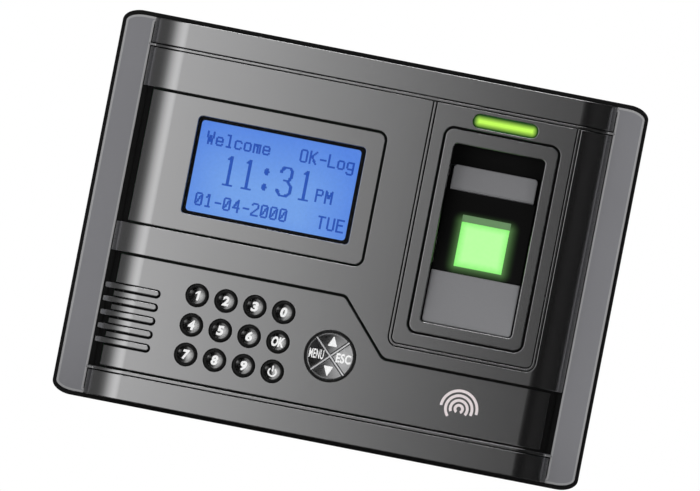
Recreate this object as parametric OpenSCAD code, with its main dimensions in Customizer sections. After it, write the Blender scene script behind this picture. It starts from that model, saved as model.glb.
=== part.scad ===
/* [Body] */
// Width of the rear shell
body_w = 185; // [184:0.5:190]
// Height of the rear shell
body_h = 135.3; // [135:0.1:137]
// Width of the oval corners of the rear shell
corner_w = 7; // [6:0.5:9]
// Height of the oval corners of the rear shell
corner_h = 4.3; // [4:0.1:5]
// Depth of the rear shell, from the wall to the joint with the front cover
shell_d = 22.5; // [22.5:0.5:23]
// Wall thickness of the rear shell
shell_wall = 2.2; // [2:0.1:2.4]
// Black border of shell that shows beside the front cover
side_border = 1.25; // [1:0.05:1.4]
// Black border of shell that shows above and below the front cover
end_border = 1.5; // [1.3:0.05:1.6]

/* [Arched front panel] */
// Half of the width of the arched panel
arch_half = 81.4; // [81:0.1:82]
// Height of the arched panel
arch_h = 132.3; // [132:0.1:132.5]
// Distance from the wall to the crown of the panel
crown_d = 38; // [37.8:0.1:38.4]
// Radius of the gently curved face
face_r = 1080; // [1000:10:1200]
// Radius of the rounded long edges
edge_r = 13; // [12.5:0.1:13.2]
// Wall thickness of the front cover
cover_wall = 2.4; // [2.2:0.1:2.4]
// Thickness of the flat strips and the flange around the panel
flange_t = 2; // [1.8:0.1:2.2]

/* [Panels let into the front] */
// Width of the black joint around each panel
joint_w = 0.8; // [0.6:0.1:0.9]
// How far the display and keypad panels lie below the face
panel_drop = 0.8; // [0.6:0.1:1]
// How far the sensor frame lies below the face
sensor_drop = 0.2; // [0.1:0.05:0.3]
// Half of the width over the ends of the display and keypad panels
panel_end = 77.5; // [77:0.1:78]
// Width of the window over the display
window_w = 59; // [57:0.5:60]
// Height of the window over the display
window_h = 34.3; // [33:0.1:35]

/* [Keys] */
// Radius of the round keys
key_r = 3.65; // [3.5:0.05:3.7]
// Radius of the holes that the keys stand in
key_hole_r = 4; // [3.95:0.05:4.2]
// Distance between key columns
key_pitch_x = 10.17; // [10:0.01:10.2]
// Distance between key rows
key_pitch_z = 10.4; // [10.2:0.1:10.5]
// Height of a key's rim above its panel
key_proud = 0.7; // [0.5:0.1:1]
// Radius of the four-way pad
nav_r = 8.1; // [8:0.05:8.15]

/* [Finger well] */
// Width of the well's mouth
well_w = 32.3; // [32:0.1:33]
// Height of the well's mouth
well_h = 62.9; // [62.5:0.1:63.5]
// Tilt of the finger tray from vertical
tray_tilt = 13.2; // [13:0.1:13.4]

/* [Wall plate] */
// Thickness of the steel wall plate
plate_t = 1.5; // [1.2:0.1:1.6]
// Distance between the wall screws across the plate
screw_span_x = 100; // [90:1:104]
// Distance between the wall screws up the plate
screw_span_z = 60; // [50:1:64]
// Diameter of the holes for the wall screws
wall_hole_d = 4.5; // [4:0.1:5]

/* [Hidden] */
KEYS = ["key_1", "key_2", "key_3", "key_0", "key_4", "key_5", "key_6", "key_ok",
    "key_7", "key_8", "key_9", "key_power"];
NAV_KEYS = ["nav_escape", "nav_up", "nav_menu", "nav_down"];

// Curves
$fn = 48;
face_steps = 24;
edge_steps = 12;
corner_steps = 6;
dish_steps = 6;

// Fits
clear = 0.1;
slip = 0.2;
past = 10;

// The arched profile, seen from above: a wide arc between two edge fillets
face_centre_y = face_r - crown_d;
face_turn = asin((arch_half - edge_r) / (face_r - edge_r));
fillet_x = arch_half - edge_r;
fillet_y = face_centre_y - (face_r - edge_r) * cos(face_turn);
cover_back = -shell_d;
strip_y = cover_back - flange_t;
arch_top = arch_h / 2;
inner_top = arch_top - cover_wall;
panel_back = cover_wall;
ledge_depth = cover_wall + clear;
ledge_back = 3.8;
seal_near = 1.6;
seal_far = 2.3;

// Panel outlines, along the middle of each black joint (x, z)
display_right = 4.9;
display_low = -5;
display_high = 42.05;
band_top = -15.95;
band_low = -55.8;
band_step = -34.9;
beyond = 90;
display_path = [[-beyond, display_low], [display_right, display_low],
    [display_right, display_high], [-beyond, display_high]];
display_radii = [0.5, 3, 3, 0.5];
keypad_path = [[-beyond, band_low], [beyond, band_low], [beyond, band_step],
    [18.2, band_step], [1.42, band_top], [-beyond, band_top]];
keypad_radii = [0.5, 0.5, 0.5, 4, 3, 0.5];
sensor_x = 44.55;
sensor_z = 12.325;
sensor_w = 40.4;
sensor_h = 72.25;
sensor_r = 3.2;
ridge_path = [[19.1, -29.2], [69.8, -29.2], [69.8, 80], [19.1, 80]];
ridge_radii = [3, 3, 0.5, 0.5];
ridge_top = 56.15;
ridge_half = 0.55;
line_w = 0.35;
line_depth = 0.45;
end_lines = [57.3, -57.4];
fin_z = 56.7;
fin_t = 0.7;
fin_x = [79.4, 79.8, 82.2];
fin_tip = -30;
lip_reach = 2.4;

// Display stack
window_x = -30.7;
window_z = 18.55;
lcd_w = 70;
lcd_h = 42;
lcd_front = -31.8;
lcd_back = -25.7;
sheet_t = 0.7;
lcd_board_w = 78;
lcd_board_h = 52;
lcd_board_y = [-25.6, -24];
lcd_posts = [[-68.5, -5.4], [5.4, -5.4], [-68.5, 42.6], [5.4, 42.6]];

// Keypad stack
key_x0 = -49;
key_z0 = -25.6;
key_travel = 1;
nav_travel = 0.8;
nav_x = 0.1;
nav_z = -37.4;
nav_stem_at = 5;
stem_r = 1.6;
stem_hole_r = 2;
mat_y = [-32, -31];
collar_r = 3.2;
collar_end = -29.2;
keypad_board_y = [-28.9, -27.3];
keypad_posts = [[-56.2, -21.2], [-56.2, -50.4], [11.2, -33.2], [10.4, -50.4]];
key_places = [for (row = [0 : 2]) for (column = [0 : 3])
    [key_x0 + column * key_pitch_x, key_z0 - row * key_pitch_z]];
nav_places = [for (i = [0 : 3]) [nav_x + nav_stem_at * cos(90 * i), nav_z + nav_stem_at * sin(90 * i)]];

// Speaker
slot_pitch = 4.77;
slot_h = 2.9;
slot_right = -61.6;
slot_z = [for (i = [-2 : 2]) nav_z + i * slot_pitch];
bar_h = 1.9;
bar_lift = 0.15;
rib_x = [-72.5, -65];
speaker_x = -67.2;
speaker_w = 15;
speaker_h = 30;

// Finger well and the tilted tray in it
well_x = 44.35;
well_z = 11.85;
well_wall = 1.2;
well_inner_w = 31.9;
well_inner_h = 62.5;
well_back = -15.4;
well_floor = -17;
tray_half = 15.6;
tray_low = -19.2;
tray_origin = [well_x, -34.6, -19.3];
glass_half = 8.4;
glass_v = [21.5, 37.6];

// Status light
status_x = 44.5;
status_z = 52.2;
status_w = 22.6;
status_h = 4.8;

// Main board and the parts behind it
board_y = [-22.1, -20.5];
board_x = [-80, 25];
board_z = [-60, 60];
main_posts = [[-74, 50], [-74, -54], [21, 50], [21, -20]];

// Rear shell
floor_y = -7.2;
deep_y = -2.2;
pocket_y = -5;
pocket_half = 63;
pocket_z = [-38.6, 52.6];
pocket_rim = 2.2;
bay_half = 52;
bay_z = [-63, -41];
bay_front = -18.8;
bay_wall = 2;
bay_skin = 1.2;
case_x = 84;
case_z = 58;
connector_low = -38.5;
power_x = -44;
network_x = -24;
terminal_x = 2;
reset_x = 20.5;
reset_y = -14;
tamper_x = 6;
tamper_z = 24;
notch_x = [-36, 20];
notch_w = 16;

// Wall plate
plate_half = 62;
plate_z = [-38, 52];
plate_mid_z = 7;
hook_x = 32;
hook_z = 40;
hook_w = 10;
lock_y = -5;
lock_hole_r = 1.6;

function reversed(list) = [for (i = [len(list) - 1 : -1 : 0]) list[i]];
function unit(v) = v / norm(v);
function side(v) = [v.y, -v.x];
function turned(centre, r, from, to, steps, skip = 0) =
    [for (i = [skip : steps - skip])
        let (a = from + (to - from) * i / steps) centre + r * [cos(a), sin(a)]];

// Depth of the face at x, measured from the wall
function face_y(x) = face_centre_y - sqrt(face_r * face_r - x * x);

// How far each edge fillet turns before it reaches the foot
function foot_turn(depth, foot) = foot > fillet_y ? 90 : acos((fillet_y - foot) / (edge_r - depth));

// The arch sunk by depth, from one foot round to the other
function arch_points(depth, foot) = let (
        end = foot_turn(depth, foot),
        straight = foot > fillet_y)
    concat(
        straight ? [[depth - arch_half, foot]] : [],
        turned([-fillet_x, fillet_y], edge_r - depth, 270 - end, 270 - face_turn, edge_steps),
        turned([0, face_centre_y], face_r - depth, 270 - face_turn, 270 + face_turn, face_steps, 1),
        turned([fillet_x, fillet_y], edge_r - depth, 270 + face_turn, 270 + end, edge_steps),
        straight ? [[arch_half - depth, foot]] : []);

// A corner of an outline that runs anticlockwise, moved outwards by grow and rounded
function corner(a, b, c, r, grow) = let (
        u = unit(b - a),
        w = unit(c - b),
        way = cross(u, w) > 0 ? 1 : -1,
        radius = max(0.05, r + way * grow),
        bend = acos(u * w),
        tip = b + grow * (side(u) + side(w)) / (1 + u * w),
        centre = tip - u * radius * tan(bend / 2) - way * side(u) * radius,
        start = atan2(side(u).y, side(u).x) + (way > 0 ? 0 : 180))
    turned(centre, radius, start, start + way * bend, corner_steps);
function outline(path, radii, grow = 0) = let (n = len(path))
    [for (i = [0 : n - 1]) each corner(path[(i + n - 1) % n], path[i], path[(i + 1) % n], radii[i], grow)];
function box_path(x0, z0, x1, z1) = [[x0, z0], [x1, z0], [x1, z1], [x0, z1]];

// A rectangle about the middle of the case, with oval corners rx wide and rz high
function oval_box(w, h, rx, rz) = [for (q = [0 : 3], i = [0 : 2 * corner_steps])
    let (a = 90 * (q + i / (2 * corner_steps)), right = q == 0 || q == 3 ? 1 : -1, up = q < 2 ? 1 : -1)
        [right * (w / 2 - rx) + rx * cos(a), up * (h / 2 - rz) + rz * sin(a)]];
function centred_path(x, z, w, h) = box_path(x - w / 2, z - h / 2, x + w / 2, z + h / 2);

// Flat shapes in x and z, carried from y = front to y = back
module facing(front, back) {
    translate([0, back, 0]) rotate([90, 0, 0]) linear_extrude(back - front) children();
}
module rounded(x, z, w, h, r, grow = 0) {
    polygon(outline(centred_path(x, z, w, h), [r, r, r, r], grow));
}
module span(x0, z0, x1, z1) {
    translate([x0, z0]) square([x1 - x0, z1 - z0]);
}
module disc(x, z, r) {
    translate([x, z]) circle(r);
}
module shaped(path, radii, grow = 0) {
    polygon(outline(path, radii, grow));
}
module between_ends(end) {
    intersection() {
        children();
        span(-end, -body_h, end, body_h);
    }
}
module band(path, radii, outer, inner) {
    difference() {
        shaped(path, radii, outer);
        shaped(path, radii, inner);
    }
}
module display_shape(grow) {
    shaped(display_path, display_radii, grow);
}
module keypad_shape(grow) {
    shaped(keypad_path, keypad_radii, grow);
}
module sensor_shape(grow) {
    rounded(sensor_x, sensor_z, sensor_w, sensor_h, sensor_r, grow);
}

// The solid under the arch sunk by depth, and a curved layer between two depths
module arch(depth, low, high, foot) {
    translate([0, 0, low]) linear_extrude(high - low) polygon(arch_points(depth, foot));
}
module layer(near, far, low, high, foot) {
    translate([0, 0, low]) linear_extrude(high - low)
        polygon(concat(arch_points(near, foot), reversed(arch_points(far, foot))));
}
module peg(x, z, r, front, back) {
    translate([x, back, z]) rotate([90, 0, 0]) cylinder(r = r, h = back - front);
}
module upright(x, y, r, low, high) {
    translate([x, y, low]) cylinder(r = r, h = high - low);
}
module block(x0, y0, z0, x1, y1, z1) {
    translate([x0, y0, z0]) cube([x1 - x0, y1 - y0, z1 - z0]);
}

// A pan-head screw that points to the front, its head's underside at y
module screw(x, z, y, head_r, head_h, shank_r, reach) {
    difference() {
        union() {
            peg(x, z, head_r, y, y + head_h);
            peg(x, z, shank_r, y - reach, y + clear);
        }
        for (a = [0, 90]) {
            translate([x, y + head_h, z]) rotate([0, a, 0])
                cube([head_r * 1.1, head_h, 0.5], center = true);
        }
    }
}

/* Front cover */
module ledge(grow_out, grow_in) {
    difference() {
        intersection() {
            layer(1.6, ledge_back, -inner_top - 0.5, inner_top + 0.5, cover_back - 0.4);
            facing(-crown_d - past, strip_y + 1) children(0);
        }
        facing(-crown_d - past, past) children(1);
    }
}
module panel_cut() {
    difference() {
        facing(-crown_d - past, strip_y) children();
        arch(ledge_depth, -body_h, body_h, 0);
    }
}
module cover_shell() {
    difference() {
        arch(0, -arch_top, arch_top, cover_back - 0.5);
        arch(cover_wall, -inner_top, inner_top, 0);
    }
    ledge() { display_shape(3); display_shape(-2); }
    ledge() { keypad_shape(3); keypad_shape(-2); }
    ledge() { sensor_shape(1.5); sensor_shape(-2); }
    facing(strip_y, cover_back) difference() {
        polygon(oval_box(body_w - 2 * side_border, body_h - 2 * end_border, corner_w - 0.5, corner_h - 1.3));
        rounded(0, 0, 155.2, 125, 3);
    }
    facing(cover_back - 0.1, cover_back + lip_reach) difference() {
        polygon(oval_box(body_w - 4.8, body_h - 4.8, corner_w - 2.4, corner_h - 2.4));
        rounded(0, 0, body_w - 8, body_h - 8, 1);
    }
    for (x = [-1, 1], z = [-1, 1]) translate([0, 0, z * fin_z - fin_t / 2]) linear_extrude(fin_t)
        polygon([[x * fin_x[0], strip_y + 0.1], [x * fin_x[0], fin_tip], [x * fin_x[1], fin_tip],
            [x * fin_x[2], strip_y], [x * fin_x[2], strip_y + 0.1]]);
    for (x = [-case_x, case_x], z = [-case_z, case_z]) peg(x, z, 3.5, cover_back - 0.5, -9.1);
    for (p = lcd_posts) peg(p.x, p.y, 2.2, face_y(p.x) + 3, lcd_board_y[0] - 0.05);
}
module end_line(z) {
    layer(-0.5, line_depth, z - line_w / 2, z + line_w / 2, strip_y - 0.3);
}
module front_cover() color("dimgray") difference() {
    cover_shell();
    panel_cut() display_shape(joint_w / 2);
    panel_cut() keypad_shape(joint_w / 2);
    panel_cut() sensor_shape(joint_w / 2);
    facing(-crown_d - past, -30) rounded(status_x, status_z, status_w, status_h, status_h / 2 - 0.01);
    for (z = end_lines) end_line(z);
    difference() {
        end_line(ridge_top);
        facing(-crown_d - past, 0) for (p = [ridge_path[0], ridge_path[1]])
            span(p.x - ridge_half + line_w / 2, ridge_top - 1, p.x + ridge_half - line_w / 2, ridge_top + 1);
    }
    for (g = [ridge_half, -ridge_half]) intersection() {
        layer(-0.5, line_depth, -40, ridge_top, strip_y - 0.3);
        facing(-crown_d - past, 0) band(ridge_path, ridge_radii, g + line_w / 2, g - line_w / 2);
    }
    for (x = [-case_x, case_x], z = [-case_z, case_z]) peg(x, z, 1.55, -18, 0);
    for (p = lcd_posts) peg(p.x, p.y, 1.1, lcd_board_y[0] - 5, 0);
}
module panel_seals() color("black") intersection() {
    layer(seal_near, seal_far, -inner_top, inner_top, strip_y - 0.1);
    facing(-crown_d - past, 0) union() {
        band(display_path, display_radii, 0.3, -0.3);
        band(keypad_path, keypad_radii, 0.3, -0.3);
        difference() {
            sensor_shape(0.3);
            sensor_shape(-0.3);
        }
        difference() {
            union() {
                display_shape(0);
                keypad_shape(0);
            }
            span(-panel_end - clear, -body_h, panel_end + clear, body_h);
        }
    }
}

/* Rear shell */
module shell_solid() {
    facing(-shell_d, 0) polygon(oval_box(body_w, body_h, corner_w, corner_h));
}
module shell_inside() {
    polygon(oval_box(body_w - 2 * shell_wall, body_h - 2 * shell_wall, corner_w - shell_wall,
        corner_h - shell_wall));
}
module rear_shell() color([0.09, 0.09, 0.1]) difference() {
    union() {
        difference() {
            shell_solid();
            facing(-shell_d - past, floor_y) shell_inside();
            facing(floor_y - past, deep_y) difference() {
                shell_inside();
                span(-pocket_half - pocket_rim, pocket_z[0] - pocket_rim,
                    pocket_half + pocket_rim, pocket_z[1] + pocket_rim);
                span(-bay_half - bay_wall, -body_h, bay_half + bay_wall, pocket_z[0]);
            }
        }
        block(-bay_half - bay_wall, bay_front - bay_skin, -body_h / 2 + 1,
            bay_half + bay_wall, -1, pocket_z[0]);
        for (x = [-case_x, case_x], z = [-case_z, case_z]) peg(x, z, 4.5, -9, -1);
        for (p = main_posts) peg(p.x, p.y, 3, board_y[1], p.x < -pocket_half ? -1 : floor_y + 1);
    }
    facing(pocket_y, past) span(-pocket_half, pocket_z[0], pocket_half, pocket_z[1]);
    facing(bay_front, past) span(-bay_half, bay_z[0], bay_half, bay_z[1]);
    block(-9.6, -2.5, bay_z[1] - 1, 9.6, past, pocket_z[0] + 1);
    for (x = [-hook_x, hook_x]) facing(floor_y - 1, 0)
        span(x - 7, hook_z - 8, x + 7, hook_z + plate_t + slip);
    for (x = notch_x) block(x, -6, -body_h / 2 - 1, x + notch_w, past, bay_z[0] + 1);
    for (x = [-case_x, case_x], z = [-case_z, case_z]) {
        peg(x, z, 3.2, -5, past);
        peg(x, z, 1.7, -past, 0);
    }
    for (p = main_posts) peg(p.x, p.y, 1.35, board_y[1] - 1, board_y[1] + 8);
    peg(tamper_x, tamper_z, 1.8, floor_y - 1, 0);
    upright(0, lock_y, 1.7, -body_h / 2 - 1, bay_z[0] + 1);
    upright(0, lock_y, 3, -body_h / 2 - 1, -body_h / 2 + 2.4);
    upright(reset_x, reset_y, 1.7, bay_z[1] - 1, pocket_z[0] + 1);
    upright(power_x, reset_y, 4, bay_z[1] - 1, pocket_z[0] + 1);
    block(network_x - 7, bay_front, bay_z[1] - 1, network_x + 7, -8.4, pocket_z[0] + 1);
    block(terminal_x - 12.6, bay_front, bay_z[1] - 1, terminal_x + 12.6, -10, pocket_z[0] + 1);
}
module case_screws() color("silver") {
    for (x = [-case_x, case_x], z = [-case_z, case_z]) screw(x, z, -4.95, 2.8, 2.2, 1.45, 11);
}

/* Wall plate */
module hook(x) {
    block(x - hook_w / 2, -9.5, hook_z, x + hook_w / 2, -plate_t / 2, hook_z + plate_t);
    block(x - hook_w / 2, -9.5, hook_z, x + hook_w / 2, -8, hook_z + 5);
}
module wall_plate() color("lightsteelblue") difference() {
    union() {
        facing(-plate_t, 0) union() {
            rounded(0, plate_mid_z, 2 * plate_half, plate_z[1] - plate_z[0], 4);
            span(-9, bay_z[0] + 1, 9, plate_z[0] + 3);
        }
        block(-9, -10, bay_z[0] + 0.5, 9, 0, bay_z[0] + 2);
        for (x = [-hook_x, hook_x]) hook(x);
    }
    for (x = [-1, 1], z = [-1, 1])
        peg(x * screw_span_x / 2, plate_mid_z + z * screw_span_z / 2, wall_hole_d / 2, -past, past);
    for (x = [-hook_x, hook_x])
        facing(-plate_t - 1, 1) span(x - hook_w / 2, hook_z + plate_t, x + hook_w / 2, hook_z + 10);
    upright(0, lock_y, lock_hole_r, bay_z[0], bay_z[0] + 3);
}
module locking_screw() color("silver") {
    difference() {
        union() {
            upright(0, lock_y, 2.75, -body_h / 2 + 0.3, -body_h / 2 + 2.3);
            upright(0, lock_y, 1.5, -body_h / 2 + 2, bay_z[0] + 5);
        }
        for (a = [0, 90]) translate([0, lock_y, -body_h / 2 + 0.3]) rotate([0, 0, a])
            cube([3, 0.5, 1.8], center = true);
    }
}

/* Display */
module window_shape(grow = 0) {
    rounded(window_x, window_z, window_w, window_h, 1.5, grow);
}
module display_bezel() color("dimgray") difference() {
    intersection() {
        layer(panel_drop, panel_back, -inner_top, inner_top, strip_y - clear);
        facing(-crown_d - past, 0) between_ends(panel_end) display_shape(-joint_w / 2);
    }
    facing(-crown_d - past, 0) window_shape();
}
module display_window() color([0.2, 0.3, 0.5, 0.6]) intersection() {
    layer(1, panel_back, -inner_top, inner_top, strip_y);
    facing(-crown_d - past, 0) window_shape(-clear);
}
module display_gasket() color("black") intersection() {
    arch(ledge_depth, -inner_top, inner_top, strip_y);
    facing(-crown_d, lcd_front - clear) difference() {
        rounded(window_x, window_z, 64, 39, 2);
        rounded(window_x, window_z, 59.4, 34.7, 1.5);
    }
}
module lcd_frame() color([0.12, 0.12, 0.12]) difference() {
    facing(lcd_front, lcd_back) rounded(window_x, window_z, lcd_w, lcd_h, 1);
    facing(lcd_front + sheet_t, 0)
        rounded(window_x, window_z, lcd_w - 2 * sheet_t, lcd_h - 2 * sheet_t, 0.5);
    facing(-crown_d, 0) rounded(window_x, window_z, 56.1, 31.8, 1.2);
}
module lcd_glass() color([0.43, 0.63, 0.92]) {
    facing(lcd_front + sheet_t + clear, -28.7) rounded(window_x, window_z, 68.2, 40.2, 0.5);
}
module lcd_backlight() color("white") {
    facing(-28.6, lcd_back - clear) rounded(window_x, window_z, 68.2, 40.2, 0.5);
}
module lcd_board() color("darkgreen") difference() {
    facing(lcd_board_y[0], lcd_board_y[1])
        rounded(-31.5, 18.6, lcd_board_w, lcd_board_h, 1.5);
    for (p = lcd_posts) peg(p.x, p.y, 1.25, -past * 4, 0);
}

/* Keypad */
module keypad_bezel() color("dimgray") difference() {
    union() {
        intersection() {
            layer(panel_drop, panel_back, -inner_top, inner_top, strip_y - clear);
            facing(-crown_d - past, 0) between_ends(panel_end) keypad_shape(-joint_w / 2);
        }
        for (p = keypad_posts) peg(p.x, p.y, 1.8, face_y(p.x) + 1.8, keypad_board_y[0] - 0.05);
    }
    for (p = key_places) peg(p.x, p.y, key_hole_r, -crown_d - past, -crown_d + past);
    peg(nav_x, nav_z, 8.95, -crown_d - past, -crown_d + past);
    for (z = slot_z) facing(-crown_d - past, 0)
        shaped(box_path(-beyond, z - slot_h / 2, slot_right, z + slot_h / 2), [0.1, 1.4, 1.4, 0.1]);
    for (p = keypad_posts) peg(p.x, p.y, 1.1, keypad_board_y[0] - 4, 0);
}
// A round dished key whose panel surface is at height 0, pointing up
module key_body(foot) {
    dish_r = 3;
    dish_depth = 0.7;
    ball = (dish_r * dish_r + dish_depth * dish_depth) / (2 * dish_depth);
    rotate_extrude() polygon(concat(
        [for (i = [0 : dish_steps]) let (r = dish_r * i / dish_steps)
            [r, key_proud - dish_depth + ball - sqrt(ball * ball - r * r)]],
        [[key_r - 0.25, key_proud], [key_r, key_proud - 0.25], [key_r, -2], [4.6, -2],
            [4.6, -2.8], [stem_r, -2.8], [stem_r, -foot], [0, -foot]]));
}
module key(i) color([0.1, 0.1, 0.11]) {
    p = key_places[i];
    front = face_y(p.x) + panel_drop;
    foot = keypad_board_y[0] - key_travel - slip - front;
    translate([p.x, front, p.y]) rotate([90, 0, 0]) key_body(foot);
}
module keypad_mat() color("lightgray") {
    difference() {
        union() {
            facing(mat_y[0], mat_y[1]) rounded(-22.7, -35.6, 62.2, 32.8, 2);
            for (p = concat(key_places, nav_places)) peg(p.x, p.y, collar_r, mat_y[1] - 0.1, collar_end);
        }
        for (p = concat(key_places, nav_places)) peg(p.x, p.y, stem_hole_r, -past * 4, 0);
    }
}
module keypad_board() color("darkgreen") difference() {
    facing(keypad_board_y[0], keypad_board_y[1]) rounded(-22.25, -36, 72.5, 35, 1.5);
    for (p = keypad_posts) peg(p.x, p.y, 1.2, -past * 4, 0);
}
module nav_ring() color("black") translate([nav_x, -35, nav_z]) rotate([90, 0, 0])
    rotate_extrude() polygon([[8.25, 0], [9.9, 0], [9.9, 0.5], [8.85, 0.5], [8.85, 2.7],
        [8.65, 2.9], [8.4, 2.9], [8.25, 2.75]]);
module nav_cross() color("silver") translate([nav_x, 0, nav_z]) facing(-37.9, mat_y[0] - clear) {
    intersection() {
        circle(8.2);
        union() for (a = [45, -45]) rotate(a) square([20, 0.6], center = true);
    }
}
// One quarter of the round pad, i quarter turns from the right
module quarter(r) {
    gap = 0.45 * sqrt(2);
    intersection() {
        circle(r);
        polygon([[gap, 0], [gap + past * 2, -past * 2], [gap + past * 2, past * 2]]);
    }
}
module nav_key(i) color([0.12, 0.12, 0.13]) difference() {
    translate([nav_x, 0, nav_z]) rotate([0, -90 * i, 0]) {
        facing(-37.7, -34.6) quarter(nav_r);
        facing(-34.7, -33.9) quarter(9.6);
        peg(nav_stem_at, 0, stem_r, -34, keypad_board_y[0] - nav_travel - slip);
    }
    translate([nav_x, -61.2, nav_z]) sphere(24.7, $fn = 64);
}

/* Speaker */
module grille_bars(depth, end) {
    intersection() {
        layer(0.3, depth, -inner_top, inner_top, strip_y - clear);
        facing(-crown_d - past, 0) between_ends(end) union() for (z = slot_z)
            shaped(box_path(-beyond, z + bar_lift - bar_h / 2, slot_right - 0.5, z + bar_lift + bar_h / 2),
                [0.1, 0.9, 0.9, 0.1]);
    }
}
module speaker_grille() color("dimgray") union() {
    grille_bars(seal_near - clear, beyond);
    grille_bars(2.6, panel_end - clear);
    for (x = rib_x) intersection() {
        layer(2.55, 3.9, slot_z[0], slot_z[4], strip_y);
        block(x, -crown_d, -inner_top, x + 1.5, 0, inner_top);
    }
}
module oval(grow = 0) {
    rounded(speaker_x, nav_z, speaker_w, speaker_h, speaker_w / 2 - 0.01, grow);
}
module speaker_frame() color("black") difference() {
    union() {
        facing(-30.3, -29.3) oval();
        facing(-29.4, -25.4) oval(-0.8);
    }
    facing(-31, -26.2) oval(-1.6);
    peg(speaker_x, nav_z, 4.2, -31, 0);
}
module speaker_cone() color([0.25, 0.25, 0.25]) union() {
    facing(-29.7, -29.3) oval(-1.8);
    intersection() {
        translate([speaker_x, -25, nav_z]) sphere(6);
        peg(speaker_x, nav_z, 3.6, -32, -29.5);
    }
}
module speaker_magnet() color("gray") {
    peg(speaker_x, nav_z, 5.6, -25.3, -22.7);
    peg(speaker_x, nav_z, 4, -28.5, -25.2);
}

/* Finger well */
module well_shape(w, h, r) {
    rounded(well_x, well_z, w, h, r);
}
module sensor_bezel() color("dimgray") difference() {
    intersection() {
        layer(sensor_drop, panel_back, -inner_top, inner_top, strip_y);
        facing(-crown_d - past, 0) sensor_shape(-joint_w / 2);
    }
    facing(-crown_d - past, 0) well_shape(well_w, well_h, 1.5);
}
module sensor_well() color("black") difference() {
    intersection() {
        arch(ledge_depth, -inner_top, inner_top, 0);
        facing(-crown_d, well_back)
            well_shape(well_inner_w + 2 * well_wall, well_inner_h + 2 * well_wall, 2.6);
    }
    facing(-crown_d - 1, well_floor) well_shape(well_inner_w, well_inner_h, 1.4);
    facing(-crown_d, 0) span(well_x - well_inner_w / 2, -40, well_x + well_inner_w / 2, 36);
}
module in_tray() {
    translate(tray_origin) rotate([-tray_tilt, 0, 0]) children();
}
module tray_clip() {
    block(0, -crown_d - past, tray_low, 80, 0, 80);
}
module finger_ramp() color("gray") intersection() {
    in_tray() block(-tray_half, 0, -1, tray_half, 3, 18.9);
    tray_clip();
}
module finger_stop() color("gray") in_tray() facing(-1, 3)
    shaped(box_path(-14.75, 48, 14.75, 56.8), [0.3, 0.3, 1.2, 1.2]);
module sensor_housing() color([0.08, 0.08, 0.08]) intersection() {
    in_tray() difference() {
        union() {
            block(-tray_half, 0, 19, tray_half, 3.1, 47.9);
            block(-tray_half, 3, -1, tray_half, 4.6, 57);
            block(-10.5, 4.5, 19.5, 10.5, 11, 39.6);
        }
        block(-glass_half - clear, -1, glass_v[0] - clear, glass_half + clear, past * 2, glass_v[1] + clear);
        translate([-glass_half - clear, 0, 0]) rotate([90, 0, 90]) linear_extrude(2 * glass_half + 2 * clear)
            polygon([[-0.5, 36], [-0.5, 40.4], [0.9, 37.8], [0.9, 36]]);
    }
    tray_clip();
}
module sensor_glass() color([0.65, 1, 0.6]) in_tray()
    block(-glass_half, 1, glass_v[0], glass_half, 6, glass_v[1]);
module sensor_board() color("darkgreen") in_tray() {
    block(-14, 11.2, 16, 14, 12.8, 44);
    block(-13.5, 12.7, 24, -9, 15.5, 36);
}
module sensor_camera() color("black") in_tray() {
    translate([0, 11.1, 29.5]) rotate([90, 0, 0]) cylinder(r = 3.4, h = 3.6);
    for (x = [-6.5, 6.5], v = [24, 35]) block(x - 1, 9.6, v - 1, x + 1, 11.1, v + 1);
}

/* Status light */
module status_lens() color([0.7, 1, 0.27]) {
    intersection() {
        layer(0.3, 2.6, -inner_top, inner_top, strip_y);
        facing(-crown_d - past, 0)
            rounded(status_x, status_z, status_w - slip, status_h - slip, status_h / 2 - 0.12);
    }
    intersection() {
        layer(2.55, 3.6, -inner_top, inner_top, strip_y);
        facing(-crown_d - past, 0) rounded(status_x, status_z, status_w + 4, 4, 0.5);
    }
}
module status_board() color("darkgreen") {
    facing(-31.2, -30) rounded(status_x, status_z, 26, 8, 0.5);
    for (x = [-7, 0, 7]) facing(-32.8, -31.1) rounded(status_x + x, status_z, 2.8, 3.2, 0.2);
}

/* Main board */
module main_board() color("darkgreen") difference() {
    facing(board_y[0], board_y[1])
        shaped(box_path(board_x[0], board_z[0], board_x[1], board_z[1]), [2, 2, 2, 2]);
    for (p = main_posts) peg(p.x, p.y, 1.6, -past * 4, 0);
}
module board_components() color([0.15, 0.15, 0.16]) {
    facing(board_y[1], board_y[1] + 1.6) union() {
        rounded(-26, 22, 20, 20, 0.5);
        rounded(-8, 40, 8, 14, 0.3);
        rounded(-24, -6, 10, 10, 0.3);
        rounded(8, 8, 9, 6, 0.3);
    }
    for (x = [-12, -2, 8]) peg(x, -8, 4, board_y[1], -10.5);
}
module board_switches() color([0.2, 0.2, 0.2]) {
    block(reset_x - 3, board_y[1], -36.6, reset_x + 3, -11, -33);
    block(tamper_x - 3, board_y[1], tamper_z - 3, tamper_x + 3, -15.2, tamper_z + 3);
}
module relay() color([0.1, 0.2, 0.6]) facing(board_y[1], -8.5) rounded(-52.5, -4.5, 19, 15, 0.8);
module coin_cell() color("silver") {
    peg(-58, 26, 10, board_y[1] + 0.6, -16.8);
    difference() {
        peg(-58, 26, 11.5, board_y[1], -18);
        peg(-58, 26, 10.1, board_y[1] + 0.5, 0);
    }
}
module power_jack() color("black") {
    difference() {
        block(power_x - 4.5, board_y[1], connector_low, power_x + 4.5, -9.5, connector_low + 14);
        upright(power_x, reset_y, 3, connector_low - 1, connector_low + 10);
    }
    upright(power_x, reset_y, 1, connector_low + 1, connector_low + 10.1);
}
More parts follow.
